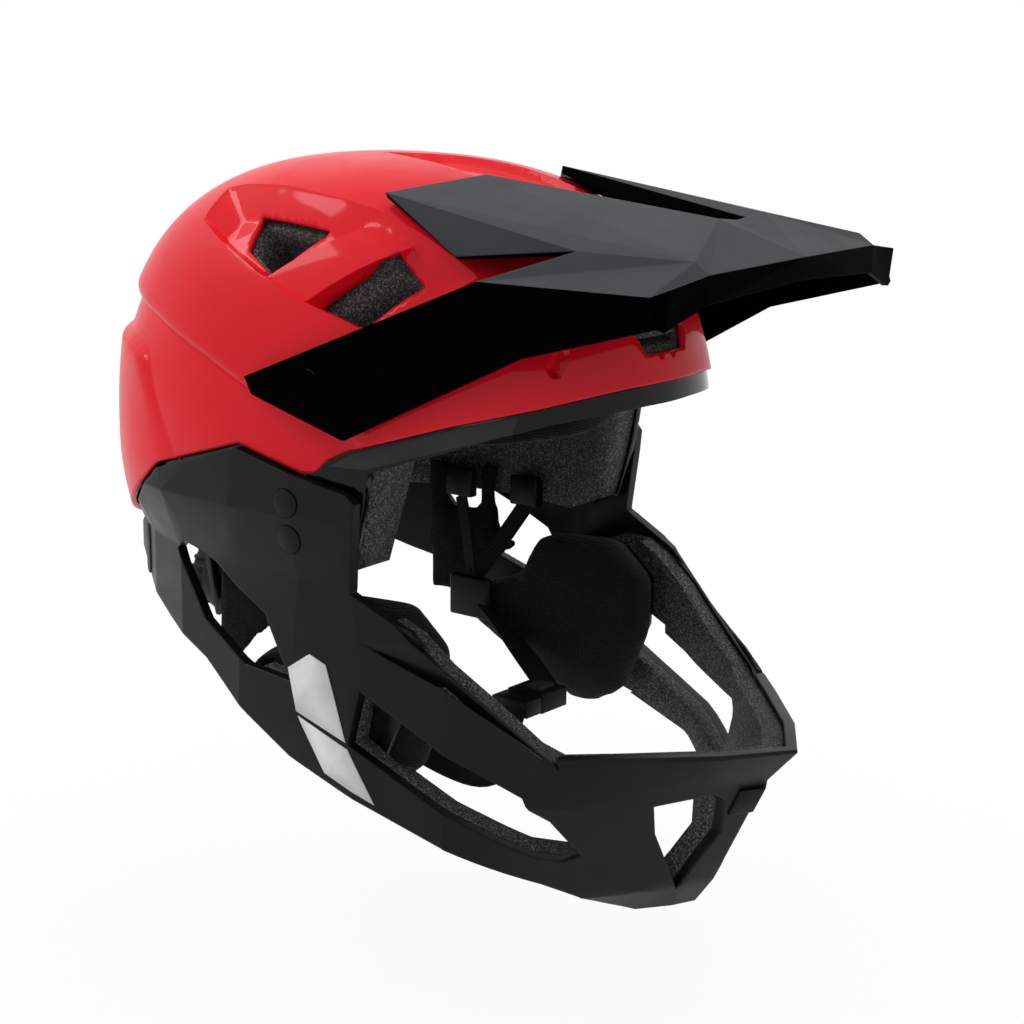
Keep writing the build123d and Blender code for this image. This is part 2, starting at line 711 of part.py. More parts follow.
def visor_triangles():
    """The visor's outer skin as triangles of shares, each turned to face outwards."""
    triangles = []
    for group, facing in ((visor_tops, up), (visor_walls, outwards),
                          (visor_slot_walls, slotwards), (visor_lips, forwards)):
        for points in group:
            for second, third in zip(points[1:-1], points[2:]):
                corners = [points[0], second, third]
                a, b, c = [at(*corner) for corner in corners]
                if (b - a).cross(c - a).dot(Vector(*facing)) < 0:
                    corners.reverse()
                triangles.append(tuple(corners))
                triangles.append(tuple((-x, y, z) for x, y, z in reversed(corners)))
    return triangles


def inner_corner(corner, triangles):
    """The corner of the inner skin below a corner of the outer skin."""
    normals = []
    for triangle in triangles:
        if corner in triangle:
            a, b, c = [at(*point) for point in triangle]
            normals.append((b - a).cross(c - a).normalized())
    mean = sum(normals, Vector(0, 0, 0)).normalized()
    spread = sum(mean.dot(normal) for normal in normals) / len(normals)
    return at(*corner) - mean * (visor_wall / spread)


def sheet_solid(triangles):
    """A closed solid with one wall, from the triangles of its outer skin."""
    corners = {corner for triangle in triangles for corner in triangle}
    outer = {corner: at(*corner) for corner in corners}
    inner = {corner: inner_corner(corner, triangles) for corner in corners}
    edges = {(t[i], t[(i + 1) % 3]) for t in triangles for i in range(3)}
    flats = []
    for a, b, c in triangles:
        flats.append((outer[a], outer[b], outer[c]))
        flats.append((inner[c], inner[b], inner[a]))
    for a, b in edges:
        if (b, a) not in edges:
            flats.append((outer[b], outer[a], inner[a]))
            flats.append((outer[b], inner[a], inner[b]))
    faces = [Face(Wire.make_polygon(flat, close=True)) for flat in flats]
    return Solid(Shell(faces))


def stay_point(radius, angle):
    return (pivot_y - radius * cos(radians(angle)), pivot_z + radius * sin(radians(angle)))


def stay_arc(inner, outer, low, high):
    """An arc-shaped strip about the tilt axis, as a side outline."""
    steps = 8
    angles = [low + (high - low) * i / steps for i in range(steps + 1)]
    return [stay_point(outer, a) for a in angles] + [stay_point(inner, a) for a in reversed(angles)]


margin = degrees(screw_head_radius / stay_radius)


def make_stay(visor):
    """The slotted strip under the visor's middle that the lock screw clamps."""
    low = stay_angle - visor_tilt - margin
    strip = stay_arc(stay_radius - stay_band / 2, stay_radius + stay_band / 2, low,
                     stay_angle + margin)
    slot_half = screw_radius + lock_gap
    slack = degrees(slot_half / stay_radius)
    slot = stay_arc(stay_radius - slot_half, stay_radius + slot_half,
                    stay_angle - visor_tilt - slack, stay_angle + slack)
    half = stay_wall / 2
    body = prism(Plane.YZ, strip, -half, half)
    top_y, top_z = stay_point(stay_radius + stay_band / 2, stay_angle + margin)
    low_y, low_z = stay_point(stay_radius + stay_band / 2, stay_angle)
    front = at(*on_middle(inner_front))
    under = visor_wall
    arm = [(top_y + stay_band / 3, top_z - stay_band / 3), (top_y, top_z),
           (front.Y - visor_wall, front.Z - under), (front.Y - stay_band / 2, front.Z - 2 * under),
           (low_y, low_z)]
    body = body + prism(Plane.YZ, arm, -half, half) - shell_dome(-2 * lock_gap)
    return largest(body - prism(Plane.YZ, slot, -half - overrun, half + overrun) - visor)


def make_bracket():
    """The two ears on the forehead that the stay runs between."""
    y, z = stay_point(stay_radius, stay_angle)
    base_z = z - 2.2 * ear_radius
    shape = [(y - ear_radius, z), (y - ear_radius / 2, z + ear_radius), (y + ear_radius, z + ear_radius),
             (y + 4 * ear_radius, z + ear_radius / 2), (y + 4 * ear_radius, base_z),
             (y + ear_radius, base_z)]
    start = stay_wall / 2 + lock_gap
    ear = prism(Plane.YZ, shape, start, start + ear_wall)
    ear = ear - extrude(
        Plane(origin=(0, y, z), x_dir=(0, 1, 0), z_dir=(1, 0, 0)) * Circle(screw_radius + lock_gap),
        amount=overrun)
    return [largest(half - top_form(0.0)) for half in both(ear)]


def make_thumb_screw():
    y, z = stay_point(stay_radius, stay_angle)
    plane = Plane(origin=(0, y, z), x_dir=(0, 1, 0), z_dir=(1, 0, 0))
    reach = stay_wall / 2 + lock_gap + ear_wall
    shaft = extrude(plane.offset(-reach) * Circle(screw_radius), amount=2 * reach)
    head = extrude(plane.offset(reach) * RegularPolygon(screw_head_radius, 8),
                   amount=screw_head_length)
    nut = extrude(plane.offset(-reach) * RegularPolygon(screw_head_radius, 6),
                  amount=-screw_head_length)
    return shaft + head + nut


def make_visor():
    bosses = both(pivot_rod(pivot_boss_radius, pivot_tip - pivot_boss_length, pivot_tip))
    bores = both(pivot_rod(pivot_radius + pivot_slack, half_width / 2, pivot_tip + pivot_slack))
    return cut_all(sheet_solid(visor_triangles()).fuse(*bosses), bores)


# Head cradle and dial
def cradle_ring(inset):
    rx, ry = cavity_half_width - inset, cavity_half_length - inset
    ring = Pos(0, shell_shift_y) * Ellipse(rx, ry)
    return extrude(Plane.XY.offset(cradle_bottom) * ring, amount=cradle_top - cradle_bottom)


dial_z = dial_height_share * crown_height
dial_y = shell_shift_y + cavity_half_length - cradle_gap


def make_cradle():
    band = cradle_ring(cradle_gap) - cradle_ring(cradle_gap + cradle_wall)
    rear_reach = half_length / 2
    arms = Pos(0, arm_start_share * half_length + half_length / 2, cradle_top - arm_height / 2) * Box(
        2 * half_width, half_length, arm_height)
    spine = prism(rear_plane, flat_points(spine_shares), rear_reach, half_length)
    slot = prism(rear_plane, flat_points(cradle_slot_shares), rear_reach, half_length)
    return (band & arms) + (band & spine) - slot


def dial_plane(out):
    return Plane(origin=(0, dial_y + out, dial_z), x_dir=(-1, 0, 0), z_dir=(0, 1, 0))


def make_dial_housing():
    body = extrude(dial_plane(housing_depth) * Circle(housing_radius), amount=-2 * housing_depth)
    body = body - cradle_ring(cradle_gap)
    hub = extrude(dial_plane(housing_depth) * Circle(hub_radius), amount=dial_thickness / 2)
    return largest(body) + hub


def make_dial():
    gap = lock_gap
    body = extrude(dial_plane(housing_depth + gap) * Circle(dial_radius), amount=dial_thickness)
    ribs = Sketch() + [spot * Circle(dial_rib_radius) for spot in PolarLocations(dial_radius, dial_ribs)]
    body = body + extrude(dial_plane(housing_depth + gap) * ribs, amount=dial_thickness)
    bore = extrude(dial_plane(housing_depth) * Circle(hub_radius + gap),
                   amount=dial_thickness / 2 + 2 * gap)
    return body - bore


def make_rear_pad():
    inner = cradle_gap + cradle_wall + soft_gap
    band = cradle_ring(inner) - cradle_ring(inner + pad_thickness)
    return band & prism(rear_plane, flat_points(rear_pad_shares), half_length / 3, half_length)


# Webbing
def webbing(path, width, thickness):
    """Flat webbing along a path, its flat side facing the head."""
    wires = []
    for i, p in enumerate(path):
        before, after = path[max(i - 1, 0)], path[min(i + 1, len(path) - 1)]
        run = (after - before).normalized()
        flat = Vector(0, 1, 0).cross(run) if abs(run.X) > abs(run.Y) else Vector(1, 0, 0)
        flat = (flat - run * flat.dot(run)).normalized()
        wide = run.cross(flat).normalized()
        corners = [p + wide * (width / 2 * a) + flat * (thickness / 2 * b)
                   for a, b in ((-1, -1), (1, -1), (1, 1), (-1, 1))]
        wires.append(Wire.make_polygon(corners, close=True))
    return Solid.make_loft(wires, ruled=True)


def anchor_spot(place):
    """Where a strap anchor sits against the liner, for a place on the side."""
    y, z = place[0] * half_length, place[1] * crown_height
    away = (abs(y - shell_shift_y) + strap_width / 2) / cavity_half_length
    wall = cavity_half_width * sqrt(1 - away ** 2)
    return Vector(wall - 2 * soft_gap - anchor_wall / 2, y, z)


def make_ear_pads():
    """A thin lining below the liner's edge, notched round the strap's anchors."""
    layer = cavity(soft_gap) - cavity(soft_gap + ear_pad_thickness)
    pad = layer & prism(Plane.YZ, side(ear_pad_shares), half_width / 2, half_width)
    for place in anchor_shares:
        spot = anchor_spot(place)
        notch = Box(half_width, strap_width + 2 * soft_gap, anchor_length + 2 * anchor_notch)
        pad = pad - Pos(spot.X, spot.Y, spot.Z) * notch
    return both(largest(pad))


divider_at = at(*divider_place_share)
buckle_at = at(*buckle_share)
sag_at = at(*strap_sag_share)


def upper_webs(sign):
    webs = []
    for place in anchor_shares:
        spot = anchor_spot(place)
        start = Vector(sign * spot.X, spot.Y, spot.Z - anchor_length / 2)
        end = Vector(sign * divider_at.X, divider_at.Y, divider_at.Z + divider_length / 2)
        webs.append(webbing([start, end], strap_width / 2, strap_wall))
    return webs


def make_divider(sign):
    return Pos(sign * divider_at.X, divider_at.Y, divider_at.Z) * Box(
        divider_wall, divider_width, divider_length)


def make_anchor(sign, place):
    spot = anchor_spot(place)
    return Pos(sign * spot.X, spot.Y, spot.Z) * Box(anchor_wall, strap_width, anchor_length)


def make_strap(sign):
    """One side's webbing: two upper webs, and the lower web to the buckle."""
    start = Vector(sign * divider_at.X, divider_at.Y - divider_width / 2, divider_at.Z)
    if sign > 0:
        path = [start, Vector(buckle_at.X + buckle_length / 2, buckle_at.Y, buckle_at.Z)]
    else:
        path = [start, sag_at, Vector(buckle_at.X - buckle_length / 2, buckle_at.Y, buckle_at.Z)]
    lower = webbing(path, strap_width, strap_wall)
    return upper_webs(sign) + [lower]


def buckle_box(start, end, width, low, high):
    """A block of the buckle: along it, across it, and up from its middle."""
    return Pos(buckle_at.X + (start + end) / 2, buckle_at.Y, buckle_at.Z + (low + high) / 2) * Box(
        end - start, width, high - low)


buckle_split = -buckle_length / 8
button_start = buckle_length / 12
tongue_low, tongue_high = -0.38 * buckle_wall, -0.22 * buckle_wall
button_low = tongue_high + buckle_travel + 3 * lock_gap


def make_buckle_base():
    half = buckle_wall / 2
    body = buckle_box(buckle_split, buckle_length / 2, buckle_width, -half, half)
    well = buckle_box(button_start - lock_gap, button_start + buckle_button_length + lock_gap,
                      buckle_button_width + 2 * lock_gap, button_low - buckle_travel - lock_gap, overrun)
    slot = buckle_box(-overrun, buckle_length / 4 + lock_gap, buckle_width / 2 + 2 * lock_gap,
                      tongue_low - lock_gap, tongue_high + lock_gap)
    return body - well - slot


def make_buckle_button():
    return buckle_box(button_start, button_start + buckle_button_length, buckle_button_width,
                      button_low, buckle_wall / 2 + buckle_travel / 2)


def make_buckle_tongue():
    half = buckle_wall * 0.42
    head = buckle_box(-buckle_length / 2, buckle_split - lock_gap, buckle_width, -half, half)
    blade = buckle_box(buckle_split - 2 * lock_gap, buckle_length / 4, buckle_width / 2,
                       tongue_low, tongue_high)
    return head + blade


def write(name, shape):
    """One file for each named piece."""
    solids = []
    for item in shape if isinstance(shape, list) else [shape]:
        solids += item.solids()
    kept = Compound(children=solids) if len(solids) > 1 else solids[0]
    export_step(kept, f"parts/{name}.step")


def main():
    os.makedirs("parts", exist_ok=True)
    write("shell_upper", make_shell_upper())
    write("shell_lower", make_shell_lower())
    write("brow_rim", make_brow_rim())
    write("brow_grip_strips", make_grips())
    write("eps_liner", make_liner())
    write("brow_pad", make_brow_pad())
    write("crown_pads", make_crown_pads())
    write("ear_pads", make_ear_pads())
    write("visor_pivot_pins", both(pivot_pin))
    write("chin_bar_shell", make_chin_shell())
    write("chin_bar_foam", make_chin_foam())
    write("side_bands", make_side_bands())
    write("chin_block", make_chin_block())
    write("temple_plugs", make_temple_plugs())
    write("temple_pins", both(pin_disc(plug_share)))
    write("latch_pins", both(pin_disc(latch_share)))
    for name, solid in zip(("left", "right"), both(make_button())):
        write(f"release_button_{name}", solid)
    write("button_springs", both(make_spring()))
    for name, solid in zip(("left", "right"), both(make_cheek_pad())):
        write(f"cheek_pad_{name}", solid)
    for name, solid in zip(("left", "right"), both(make_carrier())):
        write(f"pad_carrier_{name}", solid)
    visor = make_visor()
    write("visor", visor)
    write("visor_stay", make_stay(visor))
    write("visor_bracket", make_bracket())
    write("visor_thumb_screw", make_thumb_screw())
    write("cradle", make_cradle())
    write("dial_housing", make_dial_housing())
    write("dial_knob", make_dial())
    write("rear_pad", make_rear_pad())
    for name, sign in (("left", 1), ("right", -1)):
        write(f"strap_{name}", make_strap(sign))
    write("strap_anchors", [make_anchor(s, p) for s in (1, -1) for p in anchor_shares])
    write("strap_dividers", [make_divider(s) for s in (1, -1)])
    write("buckle_base", make_buckle_base())
    write("buckle_tongue", make_buckle_tongue())
    write("buckle_button", make_buckle_button())


main()
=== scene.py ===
# %% [markdown]
# A full face helmet for downhill riding, dressed for a studio picture.
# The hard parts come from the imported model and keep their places. This notebook gives them
# paint, plastic and foam, and makes the glossy shell, the pads and the webbing as their own pieces.

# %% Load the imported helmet
import math

import bmesh
import bpy
import numpy as np
from mathutils import Matrix, Vector
from mathutils.geometry import delaunay_2d_cdt
from mathutils.kdtree import KDTree


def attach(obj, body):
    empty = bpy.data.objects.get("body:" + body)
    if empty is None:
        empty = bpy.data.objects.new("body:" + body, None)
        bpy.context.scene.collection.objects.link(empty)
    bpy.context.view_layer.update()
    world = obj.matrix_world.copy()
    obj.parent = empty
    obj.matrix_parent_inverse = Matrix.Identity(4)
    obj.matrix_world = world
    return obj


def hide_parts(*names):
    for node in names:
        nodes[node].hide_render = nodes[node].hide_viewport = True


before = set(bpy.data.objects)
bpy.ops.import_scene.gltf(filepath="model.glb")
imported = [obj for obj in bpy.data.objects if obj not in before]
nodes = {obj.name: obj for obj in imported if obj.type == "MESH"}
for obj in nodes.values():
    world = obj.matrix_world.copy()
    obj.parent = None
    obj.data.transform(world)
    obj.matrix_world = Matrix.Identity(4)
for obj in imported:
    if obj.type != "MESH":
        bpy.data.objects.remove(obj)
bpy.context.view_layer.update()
print("nodes loaded:", len(nodes))

# %% [markdown]
# The camera stands where the photographer stood: in front of the rider's right side, a little above.
# Its turn is written as a compass angle, a height angle and a small roll, and its lens is a long one,
# so the helmet is hardly distorted.

# %% Camera
AZIMUTH, ELEVATION, ROLL = map(math.radians, (-51.6, 13.4, 0.3))
DISTANCE, SHIFT_RIGHT, SHIFT_UP = 1.0956, 0.0459, -0.0336
PIXELS_OF_FOCUS, FRAME_PIXELS, SENSOR = 2430.3, 1024, 36.0


def camera_axes():
    back = Vector((math.sin(AZIMUTH) * math.cos(ELEVATION),
                   -math.cos(AZIMUTH) * math.cos(ELEVATION), math.sin(ELEVATION)))
    level = Vector((math.cos(AZIMUTH), math.sin(AZIMUTH), 0))
    upright = back.cross(level)
    right = level * math.cos(ROLL) + upright * math.sin(ROLL)
    return right, back.cross(right), back


right, up, back = camera_axes()
lens = bpy.data.cameras.new("photo_camera")
lens.sensor_width = SENSOR
lens.lens = PIXELS_OF_FOCUS / FRAME_PIXELS * SENSOR
camera = bpy.data.objects.new("photo_camera", lens)
bpy.context.scene.collection.objects.link(camera)
turn = Matrix((right, up, back)).transposed().to_4x4()
camera.matrix_world = Matrix.Translation(right * SHIFT_RIGHT + up * SHIFT_UP + back * DISTANCE) @ turn
bpy.context.scene.camera = camera
print("lens", round(lens.lens, 2), "mm")

# %% [markdown]
# Studio light is a few big soft panels. A glossy shell shows each panel as a bright patch, so they
# are placed for their reflections: one high behind the helmet, one over the front, one low at the side.
# The floor and the world are pale, and the camera sees the world as plain white.

# %% Light, world and floor
PANELS = [
    ("rear_panel", (-0.45, 1.05, 1.10), (0.9, 0.6), 10.0),
    ("top_panel", (0.55, -0.10, 1.45), (0.7, 1.1), 8.0),
    ("front_panel", (-1.30, -0.70, 0.80), (0.5, 0.8), 2.5),
]


def soft_panel(name, place, size, power):
    light = bpy.data.lights.new(name, "AREA")
    light.shape = "RECTANGLE"
    light.size, light.size_y = size
    light.energy = power
    lamp = bpy.data.objects.new(name, light)
    lamp.location = place
    lamp.rotation_euler = (-Vector(place)).to_track_quat("-Z", "Y").to_euler()
    bpy.context.scene.collection.objects.link(lamp)


for panel in PANELS:
    soft_panel(*panel)

WORLD_LIGHT, FLOOR_Z, FLOOR_RADIUS = 0.34, -0.228, 6.0
world = bpy.data.worlds.new("studio")
bpy.context.scene.world = world
world.use_nodes = True
air = world.node_tree
paths = air.nodes.new("ShaderNodeLightPath")
seen = air.nodes.new("ShaderNodeMath")
seen.operation = "MAXIMUM"
air.links.new(paths.outputs["Is Camera Ray"], seen.inputs[0])
mirrored = air.nodes.new("ShaderNodeMath")
mirrored.operation = "MAXIMUM"
air.links.new(paths.outputs["Is Glossy Ray"], mirrored.inputs[0])
air.links.new(paths.outputs["Is Transmission Ray"], mirrored.inputs[1])
air.links.new(mirrored.outputs[0], seen.inputs[1])
level = air.nodes.new("ShaderNodeMapRange")
air.links.new(seen.outputs[0], level.inputs["Value"])
level.inputs["To Min"].default_value = WORLD_LIGHT
level.inputs["To Max"].default_value = 1.0
air.links.new(level.outputs["Result"], air.nodes["Background"].inputs["Strength"])
air.nodes["Background"].inputs["Color"].default_value = (1, 1, 1, 1)
bpy.context.scene.view_settings.view_transform = "Standard"
print("panels", len(PANELS))

# %% [markdown]
# A few small helpers keep the shader trees short: one joins a value or a socket to an input, one does
# sums, and one starts a node group with named inputs and outputs.

# %% Helpers for shader trees
def linear(red, green, blue):
    """A screen colour, 0 to 255, as the linear colour that a shader takes."""
    return tuple(((v / 255 + 0.055) / 1.055) ** 2.4 if v > 10 else v / 255 / 12.92
                 for v in (red, green, blue))


def wire(tree, value, socket):
    if isinstance(value, bpy.types.NodeSocket):
        tree.links.new(value, socket)
    else:
        socket.default_value = value


def calc(tree, operation, *values):
    node = tree.nodes.new("ShaderNodeMath")
    node.operation = operation
    for value, socket in zip(values, node.inputs):
        wire(tree, value, socket)
    return node.outputs[0]


def ramp(tree, value, low, high, start=0.0, end=1.0):
    node = tree.nodes.new("ShaderNodeMapRange")
    for name, given in (("Value", value), ("From Min", low), ("From Max", high),
                        ("To Min", start), ("To Max", end)):
        wire(tree, given, node.inputs[name])
    return node.outputs["Result"]


def noise(tree, place, scale, detail=3.0):
    node = tree.nodes.new("ShaderNodeTexNoise")
    wire(tree, place, node.inputs["Vector"])
    wire(tree, scale, node.inputs["Scale"])
    node.inputs["Detail"].default_value = detail
    return node.outputs[0]


def mix_colours(tree, share, first, second):
    node = tree.nodes.new("ShaderNodeMix")
    node.data_type = "RGBA"
    wire(tree, share, node.inputs[0])
    wire(tree, first if isinstance(first, bpy.types.NodeSocket) else (*first, 1), node.inputs[6])
    wire(tree, second if isinstance(second, bpy.types.NodeSocket) else (*second, 1), node.inputs[7])
    return node.outputs[2]


def split(tree, vector):
    node = tree.nodes.new("ShaderNodeSeparateXYZ")
    tree.links.new(vector, node.inputs[0])
    return node.outputs


def shader_group(name, inputs, outputs):
    tree = bpy.data.node_groups.new(name, "ShaderNodeTree")
    for label, kind, value in inputs:
        socket = tree.interface.new_socket(label, in_out="INPUT", socket_type=kind)
        if value is not None:
            socket.default_value = value
    for label in outputs:
        tree.interface.new_socket(label, in_out="OUTPUT", socket_type="NodeSocketFloat")
    return tree, tree.nodes.new("NodeGroupInput").outputs, tree.nodes.new("NodeGroupOutput").inputs


print("shader helpers ready")

# %% [markdown]
# Effects that several finishes share are made once, as node groups. Handling marks are soft blotches
# of duller surface. Grain is the fine pitting of moulded plastic. Beads are the crushed grains of
# foam, each cell a little lighter or darker, with pale specks. Knit and weave are built from sine
# waves, so they stay sharp at any size.

# %% Shared effects
FLOAT, PLACE = "NodeSocketFloat", "NodeSocketVector"

marks, given, result = shader_group("handling_marks", [("Place", PLACE, None), ("Scale", FLOAT, 30.0)],
                                    ["Marks"])
broad = noise(marks, given["Place"], given["Scale"], 4.0)
wire(marks, ramp(marks, broad, 0.38, 0.68), result["Marks"])

grain, given, result = shader_group("moulded_grain", [("Place", PLACE, None), ("Scale", FLOAT, 1800.0)],
                                    ["Height"])
fine = noise(grain, given["Place"], given["Scale"], 2.0)
coarse = noise(grain, given["Place"], calc(grain, "MULTIPLY", given["Scale"], 0.3), 1.0)
wire(grain, calc(grain, "ADD", calc(grain, "MULTIPLY", fine, 0.6), calc(grain, "MULTIPLY", coarse, 0.4)),
     result["Height"])

beads, given, result = shader_group("foam_beads", [("Place", PLACE, None), ("Scale", FLOAT, 650.0)],
                                    ["Tone", "Specks", "Height"])
cells = beads.nodes.new("ShaderNodeTexVoronoi")
wire(beads, given["Place"], cells.inputs["Vector"])
wire(beads, given["Scale"], cells.inputs["Scale"])
tone = beads.nodes.new("ShaderNodeSeparateColor")
beads.links.new(cells.outputs["Color"], tone.inputs[0])
wire(beads, tone.outputs[0], result["Tone"])
wire(beads, ramp(beads, tone.outputs[1], 0.74, 0.96), result["Specks"])
wire(beads, ramp(beads, cells.outputs["Distance"], 0.05, 0.65, 1.0, 0.0), result["Height"])

knit, given, result = shader_group("rib_knit", [("Place", PLACE, None), ("Pitch", FLOAT, 0.0016)],
                                   ["Height", "Gap_shade"])
axes = split(knit, given["Place"])
turns = calc(knit, "DIVIDE", 2 * math.pi, given["Pitch"])
columns = calc(knit, "SINE", calc(knit, "MULTIPLY", axes[1], turns))
rows = calc(knit, "SINE", calc(knit, "ADD", calc(knit, "MULTIPLY", axes[2], turns),
                               calc(knit, "MULTIPLY", columns, 0.4)))
stitch = ramp(knit, calc(knit, "ABSOLUTE", columns), 0.0, 1.0, 0.55, 1.0)
loops = calc(knit, "MULTIPLY", stitch, calc(knit, "ABSOLUTE", rows))
wire(knit, calc(knit, "POWER", loops, 0.6), result["Height"])
# The last output marks the hollows between the loops, where the finishes paint shade into the colour.
wire(knit, ramp(knit, loops, 0.10, 0.62, 1.0, 0.0), result["Gap_shade"])

weave, given, result = shader_group("webbing_weave", [("Place", PLACE, None), ("Pitch", FLOAT, 0.0014)],
                                    ["Height", "Gap_shade"])
axes = split(weave, given["Place"])
turns = calc(weave, "DIVIDE", 2 * math.pi, given["Pitch"])
across = calc(weave, "SINE", calc(weave, "MULTIPLY", axes[0], turns))
along = calc(weave, "SINE", calc(weave, "ADD", calc(weave, "MULTIPLY", axes[1], turns),
                                 calc(weave, "MULTIPLY", calc(weave, "ABSOLUTE", across), 2.2)))
threads = calc(weave, "ADD", calc(weave, "MULTIPLY", calc(weave, "ABSOLUTE", across), 0.5),
               calc(weave, "MULTIPLY", along, 0.35))
wire(weave, threads, result["Height"])
# The last output marks the hollows between the threads, where the finishes paint shade into the colour.
wire(weave, ramp(weave, threads, -0.2, 0.25, 1.0, 0.0), result["Gap_shade"])
print("effects", [g.name for g in bpy.data.node_groups])

# %% [markdown]
# Each finish is one material: a Principled shader, whose constant values are set on its own sockets,
# and the shared effects, placed with this finish's scale. Object coordinates carry the patterns,
# because every piece has its place in its mesh.

# %% Base of every finish
def finish(name, colour, roughness, **sockets):
    material = bpy.data.materials.new(name)
    material.use_nodes = True
    tree = material.node_tree
    shader = tree.nodes["Principled BSDF"]
    shader.inputs["Base Color"].default_value = (*linear(*colour), 1)
    shader.inputs["Roughness"].default_value = roughness
    for label, value in sockets.items():
        shader.inputs[label.replace("_", " ")].default_value = value
    place = tree.nodes.new("ShaderNodeTexCoord").outputs["Object"]
    return material, tree, shader, place


def use_group(tree, group, place, **values):
    node = tree.nodes.new("ShaderNodeGroup")
    node.node_tree = group
    tree.links.new(place, node.inputs["Place"])
    for label, value in values.items():
        node.inputs[label].default_value = value
    return node.outputs


def bump(tree, shader, height, distance, strength=1.0, edge=0.0):
    """Relief from a height, over edges that are rounded by the given radius."""
    node = tree.nodes.new("ShaderNodeBump")
    if edge:
        rounded = tree.nodes.new("ShaderNodeBevel")
        rounded.samples = 6
        rounded.inputs["Radius"].default_value = edge
        tree.links.new(rounded.outputs[0], node.inputs["Normal"])
    node.inputs["Distance"].default_value = distance
    node.inputs["Strength"].default_value = strength
    tree.links.new(height, node.inputs["Height"])
    tree.links.new(node.outputs[0], shader.inputs["Normal"])


def marked_roughness(tree, shader, place, scale, low, high):
    out = use_group(tree, marks, place, Scale=scale)
    tree.links.new(ramp(tree, out["Marks"], 0.0, 1.0, low, high), shader.inputs["Roughness"])
    return out["Marks"]


print("base of every finish ready")

# %% Paint and gloss plastic
red_paint, tree, shader, place = finish("red_paint", (240, 20, 38), 0.42,
                                        Coat_Weight=0.28, Coat_Roughness=0.06, Specular_IOR_Level=0.05)
depth = noise(tree, place, 9.0, 2.0)
blotches = ramp(tree, depth, 0.35, 0.65)
tree.links.new(mix_colours(tree, blotches, linear(238, 17, 35), linear(247, 22, 42)),
               shader.inputs["Base Color"])
marked_roughness(tree, shader, place, 45.0, 0.38, 0.48)
bump(tree, shader, noise(tree, place, 160.0, 1.0), 0.00002, 0.5)

gloss_black, tree, shader, place = finish("gloss_black", (7, 7, 8), 0.16,
                                          Coat_Weight=0.15, Coat_Roughness=0.05, Specular_IOR_Level=0.12)
marked_roughness(tree, shader, place, 60.0, 0.12, 0.24)
bump(tree, shader, noise(tree, place, 300.0, 1.0), 0.00002, 0.5)


def grained_plastic(name, colour, low, high, grain_scale, depth, specular, edge=0.0):
    material, tree, shader, place = finish(name, colour, low, Specular_IOR_Level=specular)
    worn = marked_roughness(tree, shader, place, 38.0, low, high)
    light = tuple(min(1.0, v * 1.35 + 0.002) for v in linear(*colour))
    tree.links.new(mix_colours(tree, worn, linear(*colour), light), shader.inputs["Base Color"])
    bump(tree, shader, use_group(tree, grain, place, Scale=grain_scale)["Height"], depth, 0.6, edge)
    return material


chin_black = grained_plastic("chin_black", (10, 10, 11), 0.34, 0.44, 2600.0, 0.00005, 0.16, 0.0016)
strip_grey = grained_plastic("strip_grey", (50, 51, 52), 0.55, 0.68, 2200.0, 0.00006, 0.15)
band_white = grained_plastic("band_white", (226, 227, 229), 0.38, 0.50, 1500.0, 0.00002, 0.30)
nylon_black = grained_plastic("nylon_black", (11, 11, 12), 0.38, 0.55, 1900.0, 0.00006, 0.14)
carrier_black = grained_plastic("carrier_black", (16, 16, 17), 0.34, 0.50, 1700.0, 0.00005, 0.18)

steel, tree, shader, place = finish("dark_steel", (70, 70, 72), 0.34, Metallic=1.0)
marked_roughness(tree, shader, place, 120.0, 0.28, 0.46)
print("paint, plastics and steel", len(bpy.data.materials))

# %% [markdown]
# The visor is one moulding. Its faces that point up are painted satin grey, as light falling from above,
# and its walls and lip are near black.
# The mask is the direction that a face points in, taken in the piece's own space, so it stays in place
# when the visor tilts.

# %% Visor finish
visor_skin, tree, shader, place = finish("visor_skin", (70, 72, 74), 0.42, Specular_IOR_Level=0.04)
facing = split(tree, tree.nodes["Texture Coordinate"].outputs["Normal"])[2]
# Painted light: faces that point up are painted grey, as if lit from above; the walls and lip stay near
# black and reflect less.
painted_top_light = ramp(tree, facing, 0.52, 0.60)
tree.links.new(mix_colours(tree, painted_top_light, linear(2, 2, 3), linear(72, 74, 77)),
               shader.inputs["Base Color"])
worn = use_group(tree, marks, place, Scale=35.0)["Marks"]
tree.links.new(ramp(tree, worn, 0.0, 1.0, 0.36, 0.50), shader.inputs["Roughness"])
tree.links.new(ramp(tree, painted_top_light, 0.0, 1.0, 0.005, 0.04), shader.inputs["Specular IOR Level"])
bump(tree, shader, use_group(tree, grain, place, Scale=3000.0)["Height"], 0.00004, 0.5, 0.0012)
print("visor finish", visor_skin.name)

# %% Foam, knit and webbing
foam_black, tree, shader, place = finish("foam_black", (24, 24, 25), 0.62, Specular_IOR_Level=0.15)
cell = use_group(tree, beads, place, Scale=1800.0)
dark = mix_colours(tree, cell["Tone"], linear(14, 14, 15), linear(84, 84, 85))
tree.links.new(mix_colours(tree, cell["Specks"], dark, linear(130, 130, 130)), shader.inputs["Base Color"])
bump(tree, shader, cell["Height"], 0.00012, 0.6)


